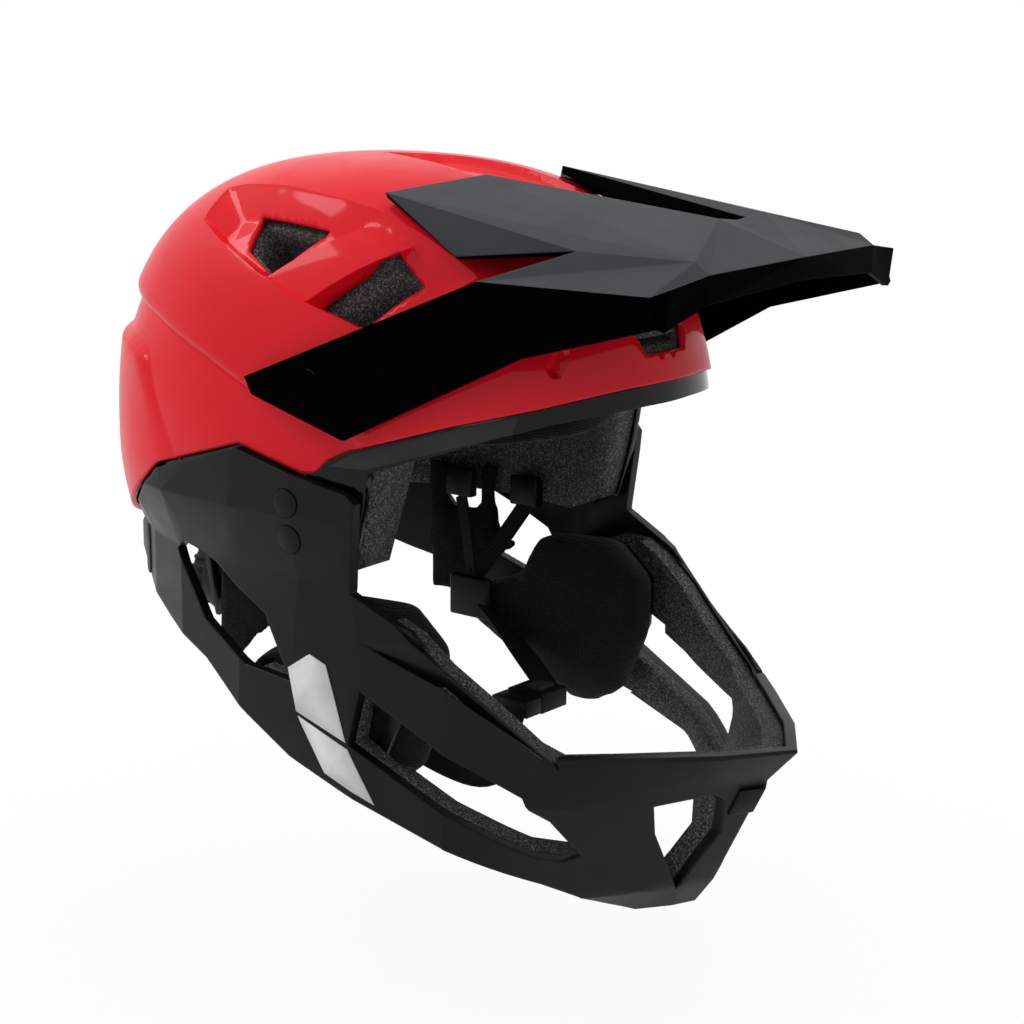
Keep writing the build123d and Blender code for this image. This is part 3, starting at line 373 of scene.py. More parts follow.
def knitted(name, colour, pitch):
    material, tree, shader, place = finish(name, colour, 0.85, Specular_IOR_Level=0.10)
    out = use_group(tree, knit, place, Pitch=pitch)
    fluff = noise(tree, place, 900.0, 2.0)
    yarn = mix_colours(tree, fluff, linear(*colour), tuple(v * 2.2 for v in linear(*colour)))
    # Painted shade: the hollows between the loops are painted at a quarter of the yarn's colour.
    tree.links.new(mix_colours(tree, out["Gap_shade"], yarn, tuple(v * 0.25 for v in linear(*colour))),
                   shader.inputs["Base Color"])
    shader.inputs["Sheen Weight"].default_value = 0.08
    shader.inputs["Sheen Roughness"].default_value = 0.45
    bump(tree, shader, out["Height"], 0.0006, 0.8)
    return material


pad_knit = knitted("pad_knit", (24, 24, 25), 0.0019)
liner_knit = knitted("liner_knit", (17, 17, 18), 0.0024)

webbing_black, tree, shader, place = finish("webbing_black", (18, 18, 19), 0.75, Specular_IOR_Level=0.12)
uv = tree.nodes["Texture Coordinate"].outputs["UV"]
out = use_group(tree, weave, uv, Pitch=0.0017)
# Painted shade: the hollows between the threads are painted near black.
tree.links.new(mix_colours(tree, out["Gap_shade"], linear(30, 30, 31), linear(8, 8, 8)),
               shader.inputs["Base Color"])
bump(tree, shader, out["Height"], 0.0003, 0.8)

print("soft finishes", pad_knit.name, liner_knit.name, webbing_black.name)

# %% Floor
FLOOR_GLOW = 0.92
floor_paint, tree, shader, place = finish("floor_paint", (236, 236, 236), 0.75, Specular_IOR_Level=0.1)
spread = tree.nodes.new("ShaderNodeVectorMath")
spread.operation = "LENGTH"
tree.links.new(place, spread.inputs[0])
glow = tree.nodes.new("ShaderNodeEmission")
blend = tree.nodes.new("ShaderNodeMixShader")
paths = tree.nodes.new("ShaderNodeLightPath").outputs
shown = calc(tree, "MAXIMUM", paths["Is Camera Ray"],
             calc(tree, "MAXIMUM", paths["Is Glossy Ray"], paths["Is Transmission Ray"]))
share = ramp(tree, spread.outputs["Value"], 0.10, 0.55, FLOOR_GLOW, 1.0)
tree.links.new(calc(tree, "MULTIPLY", shown, share), blend.inputs[0])
tree.links.new(shader.outputs[0], blend.inputs[1])
tree.links.new(glow.outputs[0], blend.inputs[2])
tree.links.new(blend.outputs[0], tree.nodes["Material Output"].inputs["Surface"])
disc = bmesh.new()
bmesh.ops.create_circle(disc, cap_ends=True, radius=FLOOR_RADIUS, segments=96)
floor_mesh = bpy.data.meshes.new("floor")
disc.to_mesh(floor_mesh)
floor_mesh.transform(Matrix.Translation((0, 0, FLOOR_Z)))
floor = bpy.data.objects.new("floor", floor_mesh)
floor_mesh.materials.append(floor_paint)
bpy.context.scene.collection.objects.link(floor)
print("finishes", len(bpy.data.materials))

# %% [markdown]
# The red shell is the piece that the eye goes to. Its form is a rule: a dome whose level curves are
# fuller than an ellipse, with a skirt below. A flat map of the dome is filled with points, and the
# outlines of the recesses, the bridge bars and the vents are laid into that map as hard lines, so the
# mesh follows them exactly. The points are then lifted onto the dome and pressed in by each feature.

# %% The dome
HALF_WIDTH, FRONT, REAR, CROWN, CENTRE_Y = 0.106, 0.150, 0.141, 0.127, 0.004
PLAN_POWER, CROWN_POWER, SKIRT_DROP, SKIRT_TAPER, SKIRT_MAP = 2.15, 2.62, 0.062, 0.12, 0.200
SHARE_SIZES = np.array([0.108, 0.150, 0.127])
HALVINGS, FAR_AWAY = 30, 9.0


def plan_share(x, y):
    """How far out a place is in plan: 1 on the dome's widest level."""
    length = np.where(y > 0, REAR, FRONT)
    return (np.abs(x / HALF_WIDTH) ** PLAN_POWER + np.abs(y / length) ** PLAN_POWER) ** (1 / PLAN_POWER)


def on_dome(flat):
    """Points of the flat map, lifted onto the dome. The map's middle is the crown."""
    radius = np.hypot(flat[:, 0], flat[:, 1])
    turn = np.arctan2(flat[:, 1], flat[:, 0])
    rise = np.radians(90 * (1 - np.minimum(radius, 1)))
    size = (np.cos(rise) ** CROWN_POWER + np.sin(rise) ** CROWN_POWER) ** (-1 / CROWN_POWER)
    out = np.cos(rise) * size / plan_share(np.cos(turn), np.sin(turn))
    height = np.where(radius > 1, -(radius - 1) * SKIRT_MAP, np.sin(rise) * size * CROWN)
    out *= 1 - SKIRT_TAPER * (np.minimum(height, 0) / SKIRT_DROP) ** 2
    return np.stack([out * np.cos(turn), out * np.sin(turn) + CENTRE_Y, height], 1)


def to_map(points):
    """Points on the dome, back onto the flat map."""
    x, y, z = points[:, 0], points[:, 1] - CENTRE_Y, points[:, 2]
    turn = np.arctan2(y, x)
    radius = 1 - np.degrees(np.arctan2(np.maximum(z, 0) / CROWN, plan_share(x, y))) / 90
    radius = radius + np.maximum(-z, 0) / SKIRT_MAP
    return np.stack([radius * np.cos(turn), radius * np.sin(turn)], 1)


def dome_normals(points):
    x, y, z = points[:, 0], points[:, 1] - CENTRE_Y, points[:, 2]
    length = np.where(y > 0, REAR, FRONT)
    share = np.maximum(plan_share(x, y), 1e-6)
    steep = share ** (CROWN_POWER - PLAN_POWER)
    slope = np.stack([np.sign(x) * np.abs(x / HALF_WIDTH) ** (PLAN_POWER - 1) / HALF_WIDTH * steep,
                      np.sign(y) * np.abs(y / length) ** (PLAN_POWER - 1) / length * steep,
                      (np.maximum(z, 0) / CROWN) ** (CROWN_POWER - 1) / CROWN
                      - 2 * SKIRT_TAPER * np.maximum(-z, 0) / SKIRT_DROP ** 2], 1)
    return slope / np.linalg.norm(slope, axis=1)[:, None]


print("dome", 2 * HALF_WIDTH, "m wide,", FRONT + REAR, "m long")

# %% [markdown]
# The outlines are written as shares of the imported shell's half width, half length and height. The
# recess, the bridge and the two openings are seen square to the shoulder, so they are drawn on a plane
# that leans at 45 degrees and are projected along its normal onto the dome.

# %% Outlines on the shell
RECESS = [(-0.651, 0.381, 0.786), (-0.483, 0.396, 0.882), (-0.491, 0.314, 0.903),
          (-0.532, 0.125, 0.915), (-0.567, -0.073, 0.899), (-0.577, -0.268, 0.864),
          (-0.587, -0.446, 0.789), (-0.571, -0.605, 0.685), (-0.820, -0.425, 0.480),
          (-0.848, -0.341, 0.523), (-0.866, -0.197, 0.574), (-0.865, -0.117, 0.602),
          (-0.840, 0.031, 0.658), (-0.757, 0.235, 0.738)]
BRIDGE = [(-0.638, -0.255, 0.828), (-0.635, -0.405, 0.773), (-0.885, -0.130, 0.560),
          (-0.865, 0.035, 0.620)]
OPENINGS = [[(-0.574, 0.193, 0.805), (-0.615, -0.107, 0.783), (-0.827, 0.025, 0.662),
             (-0.725, 0.173, 0.717)],
            [(-0.608, -0.375, 0.710), (-0.629, -0.470, 0.626), (-0.839, -0.339, 0.521),
             (-0.855, -0.193, 0.576)]]
LEAN = math.sqrt(0.5)
INSIDE_DOME, PAST_DOME = 0.04, 0.20


def shoulder_flat(points):
    """Where points lie on the leaning plane of the right shoulder: back to front, and up."""
    return np.stack([points[:, 1], (points[:, 0] + points[:, 2]) * LEAN], 1)


def shoulder_outline(shares):
    return shoulder_flat(np.array(shares) * SHARE_SIZES)


def smooth_loop(outline, spacing):
    """The closed outline with points at an even spacing."""
    rows = []
    for a, b in zip(outline, np.roll(outline, -1, 0)):
        count = max(1, int(np.linalg.norm(b - a) / spacing))
        rows.append(a + (b - a) * np.arange(count)[:, None] / count)
    return np.vstack(rows)


def shoulder_to_dome(flat):
    """Points of the leaning plane, run along its normal onto the dome."""
    low, high = np.full(len(flat), INSIDE_DOME), np.full(len(flat), PAST_DOME)
    base = np.stack([flat[:, 1] * LEAN, flat[:, 0], flat[:, 1] * LEAN], 1)
    step = np.array([-LEAN, 0, LEAN])
    for _ in range(HALVINGS):
        mid = (low + high) / 2
        at = base + mid[:, None] * step - [0, CENTRE_Y, 0]
        height = np.maximum(at[:, 2], 0) / CROWN
        outside = plan_share(at[:, 0], at[:, 1]) ** CROWN_POWER + height ** CROWN_POWER > 1
        high, low = np.where(outside, mid, high), np.where(outside, low, mid)
    return base + low[:, None] * step


def distance_inside(points, outline):
    """Distance to an outline, positive inside it."""
    nearest = np.full(len(points), FAR_AWAY)
    inside = np.zeros(len(points), bool)
    for a, b in zip(outline, np.roll(outline, -1, 0)):
        run = b - a
        share = np.clip(((points - a) @ run) / (run @ run), 0, 1)
        nearest = np.minimum(nearest, np.linalg.norm(points - a - share[:, None] * run, axis=1))
        crosses = (a[1] > points[:, 1]) != (b[1] > points[:, 1])
        height = (points[:, 1] - a[1]) / (b[1] - a[1] + 1e-12)
        inside ^= crosses & (points[:, 0] < a[0] + height * run[0])
    return np.where(inside, nearest, -nearest)


def distance_to_line(points, line):
    nearest = np.full(len(points), FAR_AWAY)
    for a, b in zip(line[:-1], line[1:]):
        run = b - a
        share = np.clip(((points - a) @ run) / (run @ run), 0, 1)
        nearest = np.minimum(nearest, np.linalg.norm(points - a - share[:, None] * run, axis=1))
    return nearest


recess_outline = shoulder_outline(RECESS)
bridge_outline = shoulder_outline(BRIDGE)
opening_outlines = [shoulder_outline(shares) for shares in OPENINGS]
print("outlines", 2 + len(opening_outlines))

# %% [markdown]
# The lower edge of the red runs along the brow, over the chin bar's ear panel and round the neck, and
# a crease runs from the temple to the back. Both are lines over the length of the helmet. The height
# of each is read at every point's own place along the helmet.

# %% Lower edge, crease and top channel
EDGE = np.array([(-1.10, 0.362), (-0.927, 0.335), (-0.807, 0.291), (-0.627, 0.236), (-0.353, 0.134),
                 (-0.273, 0.087), (-0.240, 0.047), (-0.200, 0.039), (0.033, 0.106), (0.400, -0.024),
                 (0.467, -0.079), (0.833, -0.354), (0.850, -0.394), (1.100, -0.394)])
CREASE = np.array([(-1.10, 0.02), (-0.413, 0.134), (-0.207, 0.220), (0.033, 0.291), (0.187, 0.362),
                   (0.473, 0.457), (0.627, 0.488), (1.10, 0.520)])
CHANNEL = np.array([(0.00, 0.10), (0.11, -0.10), (0.21, -0.47), (0.24, -0.80), (-0.24, -0.80),
                    (-0.21, -0.47), (-0.11, -0.10)]) * SHARE_SIZES[:2]
CENTRE_VENT = np.array([(-0.16, 0.50), (0.16, 0.50), (0.12, 0.43), (-0.12, 0.43)]) * SHARE_SIZES[[0, 2]]
REAR_VENT = np.array([(0.12, 0.46), (0.46, 0.40), (0.40, 0.27), (0.12, 0.30)]) * SHARE_SIZES[[0, 2]]
SLIT = np.array([(0.53, 0.40), (0.49, 0.37), (0.42, 0.46), (0.46, 0.49)]) * SHARE_SIZES[[0, 2]]
MAP_MIDDLE, MAP_RIM, RING_POINTS = 0.05, 1.45, 420


def line_height(line, y):
    return np.interp(y, line[:, 0] * SHARE_SIZES[1], line[:, 1] * SHARE_SIZES[2])


def round_line(line):
    """The line's course round the dome, on the flat map."""
    turns = np.linspace(0, 2 * math.pi, RING_POINTS, endpoint=False)
    low, high = np.full(RING_POINTS, MAP_MIDDLE), np.full(RING_POINTS, MAP_RIM)
    aim = np.stack([np.cos(turns), np.sin(turns)], 1)
    for _ in range(HALVINGS):
        mid = (low + high) / 2
        points = on_dome(aim * mid[:, None])
        above = points[:, 2] > line_height(line, points[:, 1])
        low, high = np.where(above, mid, low), np.where(above, high, mid)
    return aim * low[:, None]


def front_to_dome(outline, sign):
    """Points of a front or rear outline, run along the helmet onto the dome."""
    x, z = outline[:, 0], outline[:, 1]
    level = (1 - (z / CROWN) ** CROWN_POWER) ** (1 / CROWN_POWER)
    reach = REAR if sign > 0 else FRONT
    left = level ** PLAN_POWER - np.abs(x / HALF_WIDTH) ** PLAN_POWER
    return np.stack([x, sign * reach * left ** (1 / PLAN_POWER) + CENTRE_Y, z], 1)


def top_to_dome(outline):
    x, y = outline[:, 0], outline[:, 1] - CENTRE_Y
    height = CROWN * (1 - plan_share(x, y) ** CROWN_POWER) ** (1 / CROWN_POWER)
    return np.stack([x, outline[:, 1], height], 1)


print("places along the lower edge", len(EDGE), "and the crease", len(CREASE))

# %% [markdown]
# Pressing: each feature gives a depth at each point. The recess falls away from its upper arc as a
# slope and ends at a crisp lip below, and the bridge bars stay nearly level with the dome. Above the
# crease the surface rolls in, below it the side is set in, and at the back a lobe swells out again.
# The channel on the crown is shallow.

# %% Depth of each feature
RECESS_DEPTH, RECESS_SLOPE, LIP_WIDTH = 0.0085, 0.016, 0.0014
ARC_POINTS, SHOULDER_Z, CROWN_Z = 8, 0.03, 0.05
BRIDGE_DEPTH, CREASE_DEPTH, CHANNEL_DEPTH, SLIT_DEPTH = 0.0012, 0.0040, 0.0040, 0.0022
CREASE_ROLL, CREASE_FADE, CHANNEL_EDGE, SLIT_EDGE = 0.0065, (-0.064, -0.045), 0.005, 0.0012
SET_IN_EASE, SET_IN_REACH = 0.65, (0.001, 0.034)
LOBE_Y, LOBE_Z, LOBE_LEAN, LOBE_SWELL = 0.0625, 0.0246, 0.67, 1.30
LOBE_RUN, LOBE_FAN, LOBE_TAIL, LOBE_TOP, LOBE_ROUND = 0.010, 0.5, 0.04, 0.0140, 0.006


def soft_step(value, low, high):
    share = np.clip((value - low) / (high - low), 0, 1)
    return share * share * (3 - 2 * share)


def recess_depth(points):
    mirrored = points * [-1, 1, 1]
    depth = np.zeros(len(points))
    for side in (points, mirrored):
        flat = shoulder_flat(side)
        near = (side[:, 0] < 0) & (side[:, 2] > SHOULDER_Z)
        inside = np.where(near, distance_inside(flat, recess_outline), -1)
        from_arc = distance_to_line(flat, recess_outline[:ARC_POINTS])
        slope = np.clip(from_arc / RECESS_SLOPE, 0, 1) ** 0.9
        lower = np.vstack([recess_outline[ARC_POINTS - 1:], recess_outline[:1]])
        lip = soft_step(distance_to_line(flat, lower), 0, LIP_WIDTH)
        pressed = RECESS_DEPTH * slope * lip * (inside > 0)
        bar = soft_step(distance_inside(flat, bridge_outline), -LIP_WIDTH, 0)
        depth += np.where(near, pressed * (1 - bar) + np.minimum(pressed, BRIDGE_DEPTH) * bar, 0)
    return depth


def pressed_depth(points):
    depth = recess_depth(points)
    y, z = points[:, 1], points[:, 2]
    below = line_height(CREASE, y) - z
    rolled = np.clip(1 + below / CREASE_ROLL, 0, 1) ** 2
    under = rolled * (1 - SET_IN_EASE * soft_step(below, *SET_IN_REACH))
    from_lobe = y - LOBE_Y - LOBE_LEAN * (z - LOBE_Z)
    run = LOBE_RUN + LOBE_FAN * np.clip(LOBE_Z - z, 0, LOBE_TAIL)
    lobe = 1 - (1 - np.clip(from_lobe / run, 0, 1)) ** 2
    swell = 1 - LOBE_SWELL * lobe * soft_step(below, LOBE_TOP, LOBE_TOP + LOBE_ROUND)
    depth += CREASE_DEPTH * under * swell * soft_step(y, *CREASE_FADE)
    inside = distance_inside(points[:, :2], CHANNEL)
    depth += np.where(z > CROWN_Z, CHANNEL_DEPTH * soft_step(inside, 0, CHANNEL_EDGE), 0)
    for side in (1, -1):
        inside = distance_inside(points[:, [0, 2]] * [side, 1], SLIT)
        depth += np.where(y < 0, SLIT_DEPTH * soft_step(inside, 0, SLIT_EDGE), 0)
    return depth


print("deepest feature", RECESS_DEPTH, "m")

# %% [markdown]
# Hard lines are kept as edges of the mesh. Beside them run loose rows of points, which give the mesh
# the fine strips that a rounded edge needs. Elsewhere the points form an even net.

# %% Lines and rows of points
NET_REACH, MAP_STEP, LINE_STEP, CHANNEL_STEP = 1.5, 0.0135, 0.0018, 0.003
LOBE_LOW, LOBE_HIGH, LOBE_STEP = -0.012, LOBE_Z + 0.024, LINE_STEP * 0.8
LOBE_OFFSETS = (-0.0012, 0, 0.0012, 0.003)
CREASE_SHARES, EDGE_SHARES = (0.968, 0.976, 0.984, 0.992, 1.006, 1.014), (0.993, 0.986)
RECESS_OFFSETS, BRIDGE_OFFSETS = (-0.0007, 0.0007, 0.0015), (-0.0008, 0.0008, 0.0015)


def both_sides(points):
    return [points, points * [-1, 1, 1]]


def feature_lines():
    """Every hard line of the shell, as closed loops of points on the dome."""
    loops = []
    for outline in [recess_outline, bridge_outline, *opening_outlines]:
        loops += both_sides(shoulder_to_dome(smooth_loop(outline, LINE_STEP)))
    loops.append(top_to_dome(smooth_loop(CHANNEL, CHANNEL_STEP)))
    loops.append(front_to_dome(smooth_loop(CENTRE_VENT, LINE_STEP), -1))
    loops += both_sides(front_to_dome(smooth_loop(REAR_VENT, LINE_STEP), 1))
    loops += both_sides(front_to_dome(smooth_loop(SLIT, LINE_STEP), -1))
    return loops


def shoulder_rows(outline, offsets):
    """Loose rows of points beside an outline, to round its edge."""
    loop = smooth_loop(outline, LINE_STEP)
    run = np.roll(loop, -1, 0) - np.roll(loop, 1, 0)
    side = np.stack([-run[:, 1], run[:, 0]], 1) / np.linalg.norm(run, axis=1)[:, None]
    rows = []
    for offset in offsets:
        rows += both_sides(shoulder_to_dome(loop + side * offset))
    return rows


def lobe_rows():
    """Loose rows of points along the foot of each rear lobe, to make its edge crisp."""
    z = np.arange(LOBE_LOW, LOBE_HIGH, LOBE_STEP)
    level = (1 - (np.maximum(z, 0) / CROWN) ** CROWN_POWER) ** (1 / CROWN_POWER)
    level *= 1 - SKIRT_TAPER * (np.minimum(z, 0) / SKIRT_DROP) ** 2
    rows = []
    for offset in LOBE_OFFSETS:
        y = LOBE_Y + LOBE_LEAN * (z - LOBE_Z) + offset - CENTRE_Y
        x = HALF_WIDTH * (level ** PLAN_POWER - (y / REAR) ** PLAN_POWER) ** (1 / PLAN_POWER)
        rows += both_sides(np.stack([x, y + CENTRE_Y, z], 1))
    return rows


def map_points():
    """An even net of points on the flat map, as far as the lowest edge."""
    count = int(NET_REACH / MAP_STEP)
    rows = []
    for j in range(-count, count + 1):
        xs = (np.arange(-count, count + 1) + 0.5 * (j % 2)) * MAP_STEP
        rows.append(np.stack([xs, np.full(len(xs), j * MAP_STEP * math.sqrt(0.75))], 1))
    return np.vstack(rows)


def loose_rows(edge, crease):
    """Every loose row, on the flat map."""
    rows = [crease * share for share in CREASE_SHARES] + [edge * share for share in EDGE_SHARES]
    for drop in (LOBE_TOP, LOBE_TOP + LOBE_ROUND):
        rows.append(round_line(CREASE - [0, drop / SHARE_SIZES[2]]))
    rows += [to_map(row) for row in lobe_rows()]
    rows += [to_map(row) for row in shoulder_rows(recess_outline, RECESS_OFFSETS)]
    return rows + [to_map(row) for row in shoulder_rows(bridge_outline, BRIDGE_OFFSETS)]


print("rows beside the crease", len(CREASE_SHARES), "and each lobe", len(LOBE_OFFSETS))

# %% Mesh of the red shell
NET_INSET, NET_GAP, SAME_POINT = 0.4 * MAP_STEP, 0.45 * MAP_STEP, 1e-5


def within(points, edge, slack):
    """Which points of the map lie inside the lower edge."""
    radius = np.hypot(*edge.T)
    turns = np.linspace(0, 2 * math.pi, len(edge) + 1)
    limit = np.interp(np.arctan2(points[:, 1], points[:, 0]) % (2 * math.pi), turns,
                      np.append(radius, radius[0]))
    return np.hypot(points[:, 0], points[:, 1]) < limit + slack


def clear_of(points, rows):
    """The points that stand clear of every row."""
    taken = np.vstack(rows)
    tree = KDTree(len(taken))
    for i, point in enumerate(taken):
        tree.insert((*point, 0), i)
    tree.balance()
    return points[[tree.find((*point, 0))[2] > NET_GAP for point in points]]


def shell_mesh():
    edge, crease = round_line(EDGE), round_line(CREASE)
    loops = [edge, crease] + [to_map(loop) for loop in feature_lines()]
    loose = loose_rows(edge, crease)
    net = map_points()
    net = clear_of(net[within(net, edge, -NET_INSET)], loops + loose)
    points, edges = [net] + loose, []
    start = sum(len(p) for p in points)
    for loop in loops:
        order = np.arange(len(loop)) + start
        edges += list(zip(order.tolist(), np.roll(order, -1).tolist()))
        points.append(loop)
        start += len(loop)
    flat = np.vstack(points)
    made = delaunay_2d_cdt([Vector(p) for p in flat], edges, [], 0, SAME_POINT)
    flat, faces = np.array([tuple(v) for v in made[0]]), np.array(made[2])
    centres = flat[faces].mean(1)
    keep = within(centres, edge, 0) & ~in_openings(on_dome(centres))
    places = on_dome(flat)
    places = places - dome_normals(places) * pressed_depth(places)[:, None]
    return places, faces[keep]


def in_openings(points):
    open_here = np.zeros(len(points), bool)
    for side in (points, points * [-1, 1, 1]):
        right_shoulder = (side[:, 0] < 0) & (side[:, 2] > SHOULDER_Z)
        for outline in opening_outlines:
            open_here |= right_shoulder & (distance_inside(shoulder_flat(side), outline) > 0)
        open_here |= (side[:, 1] > 0) & (distance_inside(side[:, [0, 2]], REAR_VENT) > 0)
    front = (points[:, 1] < 0) & (distance_inside(points[:, [0, 2]], CENTRE_VENT) > 0)
    return open_here | front


print("net of points every", MAP_STEP, "of the map")

# %% The red shell
SAME_PLACE, SHELL_SHARP, SHELL_WALL = 0.00002, 34, 0.0024


def new_piece(name, places, faces, material):
    mesh = bpy.data.meshes.new(name)
    mesh.from_pydata([tuple(p) for p in places], [], [tuple(int(i) for i in f) for f in faces])
    mesh.materials.append(material)
    piece = bpy.data.objects.new(name, mesh)
    bpy.context.scene.collection.objects.link(piece)
    return piece


def tidy_mesh(piece, sharp_angle):
    """Merged, faces outwards, and smooth but for edges sharper than the angle."""
    work = bmesh.new()
    work.from_mesh(piece.data)
    bmesh.ops.remove_doubles(work, verts=work.verts, dist=SAME_PLACE)
    bmesh.ops.delete(work, geom=[v for v in work.verts if not v.link_faces], context="VERTS")
    bmesh.ops.recalc_face_normals(work, faces=work.faces)
    work.to_mesh(piece.data)
    work.free()
    piece.data.shade_smooth()
    piece.data.set_sharp_from_angle(angle=math.radians(sharp_angle))


red_shell = new_piece("red_shell", *shell_mesh(), red_paint)
tidy_mesh(red_shell, SHELL_SHARP)
top = max(red_shell.data.polygons, key=lambda p: p.center.z)
if top.normal.z < 0:
    red_shell.data.flip_normals()
thick = red_shell.modifiers.new("wall", "SOLIDIFY")
thick.thickness, thick.offset = SHELL_WALL, -1
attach(red_shell, "helmet")
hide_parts("shell_upper")
print("red shell faces", len(red_shell.data.polygons))

# %% [markdown]
# The chin bar and the visor are mouldings of many flat faces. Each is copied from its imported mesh,
# joined, and shaded smooth but for its real edges. Their finishes round those edges in the shader, by
# a millimetre or so, as a mould's own radius does.

# %% Mouldings
def bake(piece):
    """The piece's modifiers, turned into plain mesh."""
    graph = bpy.context.evaluated_depsgraph_get()
    mesh = bpy.data.meshes.new_from_object(piece.evaluated_get(graph))
    piece.modifiers.clear()
    piece.data = mesh


def copied_node(name, node, material, sharp_angle=180):
    mesh = nodes[node].data.copy()
    mesh.materials.clear()
    mesh.materials.append(material)
    piece = bpy.data.objects.new(name, mesh)
    bpy.context.scene.collection.objects.link(piece)
    tidy_mesh(piece, sharp_angle)
    return piece


MOULDINGS = [("chin_bar_moulding", "chin_bar_shell", "chin_bar", chin_black, "black_matte", 11),
             ("visor_moulding", "visor", "visor", visor_skin, "visor_grey", 4)]
for name, node, body, material, slot, sharp_angle in MOULDINGS:
    moulding = copied_node(name, node, material, sharp_angle)
    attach(moulding, body)
    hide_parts(node)
    print(name, "faces", len(moulding.data.polygons))

# %% [markdown]
# The other hard parts are right as they are packed, so they stay. Their meshes are loose triangles:
# a weld joins them, a small bevel breaks the edges as a mould does, and shading is smooth across
# gentle turns only.

# %% Dress the hard parts
WELD, FLAT_ANGLE, EDGE_SEGMENTS, EDGE_ANGLE = 0.00003, math.radians(1), 2, math.radians(32)


def dress(name, material, bevel):
    node = nodes[name]
    node.data.materials.clear()
    node.data.materials.append(material)
    node.data.shade_smooth()
    weld = node.modifiers.new("weld", "WELD")
    weld.merge_threshold = WELD
    if bevel:
        flat = node.modifiers.new("flat_faces", "DECIMATE")
        flat.decimate_type, flat.angle_limit = "DISSOLVE", FLAT_ANGLE
        edge = node.modifiers.new("edge", "BEVEL")
        edge.width, edge.segments, edge.angle_limit = bevel, EDGE_SEGMENTS, EDGE_ANGLE
        edge.limit_method, edge.harden_normals = "ANGLE", False


HARD_PARTS = [
    ("shell_lower", gloss_black, 0.0006), ("brow_rim", gloss_black, 0.0008),
    ("brow_grip_strips", strip_grey, 0.0003), ("eps_liner", foam_black, 0.0),
    ("chin_bar_foam", foam_black, 0.0006),
    ("side_bands", band_white, 0.0), ("chin_block", nylon_black, 0.0004),
    ("temple_plugs", nylon_black, 0.0004), ("button_springs", steel, 0.0),
    ("release_button_left", nylon_black, 0.0004), ("release_button_right", nylon_black, 0.0004),
    ("pad_carrier_left", carrier_black, 0.0003), ("pad_carrier_right", carrier_black, 0.0003),
    ("visor_stay", nylon_black, 0.0003),
    ("visor_bracket", nylon_black, 0.0003), ("visor_thumb_screw", nylon_black, 0.0003),
    ("visor_pivot_pins", steel, 0.0002), ("temple_pins", steel, 0.0002), ("latch_pins", steel, 0.0002),
    ("cradle", nylon_black, 0.0005), ("dial_housing", nylon_black, 0.0008),
    ("dial_knob", nylon_black, 0.0004), ("strap_anchors", nylon_black, 0.0008),
    ("strap_dividers", nylon_black, 0.0010), ("buckle_base", nylon_black, 0.0010),
    ("buckle_tongue", nylon_black, 0.0010), ("buckle_button", strip_grey, 0.0006),
]
for name, material, bevel in HARD_PARTS:
    dress(name, material, bevel)
print("hard parts dressed", len(HARD_PARTS))

# %% [markdown]
# The pads are foam in a knitted cover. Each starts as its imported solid, a little smaller, is remeshed
# to even squares, and is blown up by cloth simulation with gravity off, so that its faces crown
# between the seams. How far a point may move is capped, so the pad keeps its place.

# %% Pads by cloth simulation
FRAMES, STIFFNESS, SWELL_CAP = 18, 20, 0.0028
PADS = [
    ("cheek_cushion_left", "cheek_pad_left", "chin_bar", 0.0014, 0.0042, pad_knit, 4.0),
    ("cheek_cushion_right", "cheek_pad_right", "chin_bar", 0.0014, 0.0042, pad_knit, 4.0),
    ("brow_cushion", "brow_pad", "helmet", 0.0008, 0.0026, liner_knit, 3.0),
    ("crown_cushions", "crown_pads", "helmet", 0.0008, 0.0028, liner_knit, 3.0),
    ("rear_cushion", "rear_pad", "cradle", 0.0008, 0.0026, liner_knit, 3.0),
    ("ear_cushions", "ear_pads", "helmet", 0.0006, 0.0022, liner_knit, 3.0),
]


def pad_block(name, node, shrink, voxel, material):
    pad = copied_node(name, node, material)
    smaller = pad.modifiers.new("smaller", "DISPLACE")
    smaller.strength, smaller.mid_level = -shrink, 0.0
    even = pad.modifiers.new("even", "REMESH")
    even.mode, even.voxel_size = "VOXEL", voxel
    bake(pad)
    return pad


def inflate(pads):
    """Blows up all the pads in one run of the simulation."""
    rests = []
    for pad, pressure in pads:
        rests.append(np.array([v.co for v in pad.data.vertices]))
        cloth = pad.modifiers.new("air", "CLOTH")
        cloth.settings.use_pressure = True
        cloth.settings.uniform_pressure_force = pressure
        cloth.settings.effector_weights.gravity = 0
        cloth.settings.tension_stiffness = cloth.settings.compression_stiffness = STIFFNESS
        cloth.point_cache.frame_start, cloth.point_cache.frame_end = 1, FRAMES
    for step in range(1, FRAMES + 1):
        bpy.context.scene.frame_set(step)
    for (pad, _), rest in zip(pads, rests):
        bake(pad)
        now = np.array([v.co for v in pad.data.vertices])
        move = now - rest
        length = np.linalg.norm(move, axis=1)[:, None]
        now = rest + move * np.minimum(1, SWELL_CAP / np.maximum(length, 1e-9))
        pad.data.vertices.foreach_set("co", now.ravel())
        print(pad.name, "swelled by", round(float(np.minimum(length, SWELL_CAP).max()) * 1000, 1), "mm")
    bpy.context.scene.frame_set(1)


pads = []
for name, node, _, shrink, voxel, material, pressure in PADS:
    pads.append((pad_block(name, node, shrink, voxel, material), pressure))
inflate(pads)
for (pad, _), (_, node, body, *_) in zip(pads, PADS):
    soft = pad.modifiers.new("soft", "SUBSURF")
    soft.levels = soft.render_levels = 1
    bake(pad)
    pad.data.shade_smooth()
    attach(pad, body)
    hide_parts(node)
print("pads", len(pads))

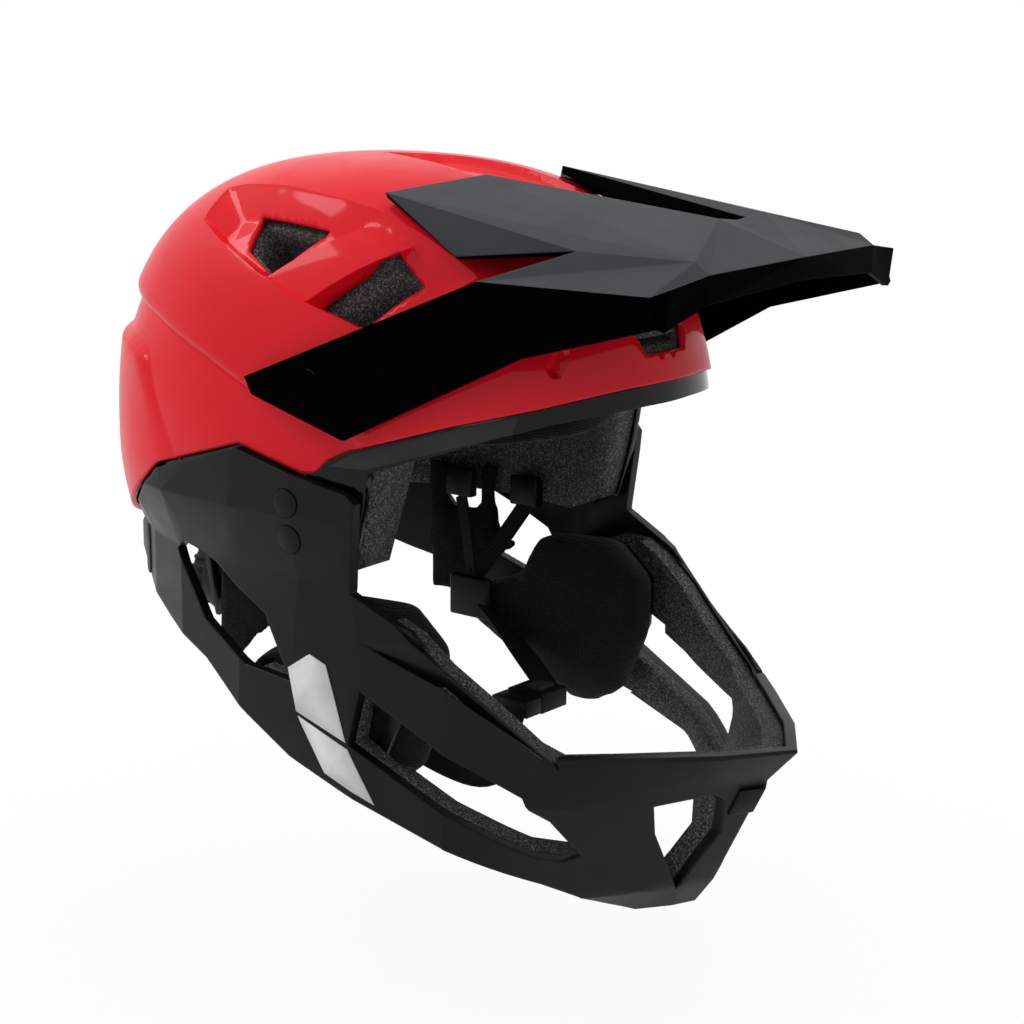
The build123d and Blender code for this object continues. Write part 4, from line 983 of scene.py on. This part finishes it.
# %% [markdown]
# The chin strap is flat webbing. It is modelled directly, as a ribbon with rounded edges that is swept
# along a path and turned to lie flat, because a simulation would erase something so thin.

# %% Webbing
ANCHORS = [(0.0753, -0.0075, -0.0438), (0.0723, 0.0300, -0.0438)]
DIVIDER = (0.0561, 0.0100, -0.0876)
LOWER_START = (DIVIDER[0], DIVIDER[1] - 0.010, DIVIDER[2] - 0.004)
LEFT_RUN = [(0.050, -0.022, -0.104), (0.0370, -0.0525, -0.1181)]
RIGHT_RUN = [(-0.046, -0.020, -0.118), (-0.0205, -0.060, -0.1435), (0.0010, -0.0560, -0.1260),
             (0.0065, -0.0525, -0.1181)]
WEB_WIDTH, WEB_THICK, WEB_STEPS, WEB_SHARP = 0.016, 0.0016, 14, 50


def swept(path, steps):
    """A smooth path through the given points."""
    points = [Vector(p) for p in path]
    ends = [points[0] * 2 - points[1]] + points + [points[-1] * 2 - points[-2]]
    line = []
    for a, b, c, d in zip(ends, ends[1:], ends[2:], ends[3:]):
        for i in range(steps):
            t = i / steps
            line.append(0.5 * (2 * b + (c - a) * t + (2 * a - 5 * b + 4 * c - d) * t * t
                               + (3 * b - a - 3 * c + d) * t ** 3))
    return line + [points[-1]]


def ribbon(name, paths, material):
    """Flat webbing along each path, which comes with the way that its flat side faces and its width."""
    section = [(-0.5, -0.22), (-0.46, -0.5), (0.46, -0.5), (0.5, -0.22), (0.5, 0.22), (0.46, 0.5),
               (-0.46, 0.5), (-0.5, 0.22)]
    places, faces, uvs = [], [], []
    for path, facing, wide in paths:
        line = swept(path, WEB_STEPS)
        start, travelled = len(places), 0.0
        for i, point in enumerate(line):
            run = (line[min(i + 1, len(line) - 1)] - line[max(i - 1, 0)]).normalized()
            flat = (Vector(facing) - run * run.dot(Vector(facing))).normalized()
            over = run.cross(flat)
            travelled += (point - line[i - 1]).length if i else 0
            for a, b in section:
                places.append(point + over * (a * wide) + flat * (b * WEB_THICK))
                uvs.append((a * wide, travelled))
        count = len(section)
        for i in range(len(line) - 1):
            for j in range(count):
                k = (j + 1) % count
                base = start + i * count
                faces.append((base + j, base + k, base + count + k, base + count + j))
        faces.append(tuple(start + j for j in reversed(range(count))))
        faces.append(tuple(start + (len(line) - 1) * count + j for j in range(count)))
    piece = new_piece(name, places, faces, material)
    layer = piece.data.uv_layers.new(name="run")
    for loop in piece.data.loops:
        layer.data[loop.index].uv = uvs[loop.vertex_index]
    tidy_mesh(piece, WEB_SHARP)
    return piece


def strap_paths(sign, run):
    """The two upper webs of a side, and the lower one, which goes on along the given run."""
    def side(p):
        return sign * p[0], p[1], p[2]

    top = (DIVIDER[0], DIVIDER[1], DIVIDER[2] + 0.008)
    paths = []
    for anchor in ANCHORS:
        middle = tuple((a + b) / 2 for a, b in zip(anchor, top))
        bowed = (middle[0] + 0.001, middle[1], middle[2])
        paths.append(([side(anchor), side(bowed), side(top)], (sign, 0, 0.3), WEB_WIDTH / 2))
    return paths + [([side(LOWER_START)] + run, (0.35 * sign, 0.25, 0.9), WEB_WIDTH)]


for name, sign, run in (("left", 1, LEFT_RUN), ("right", -1, RIGHT_RUN)):
    web = ribbon(f"webbing_{name}", strap_paths(sign, run), webbing_black)
    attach(web, "helmet")
    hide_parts(f"strap_{name}")
print("webbing pieces", 2)
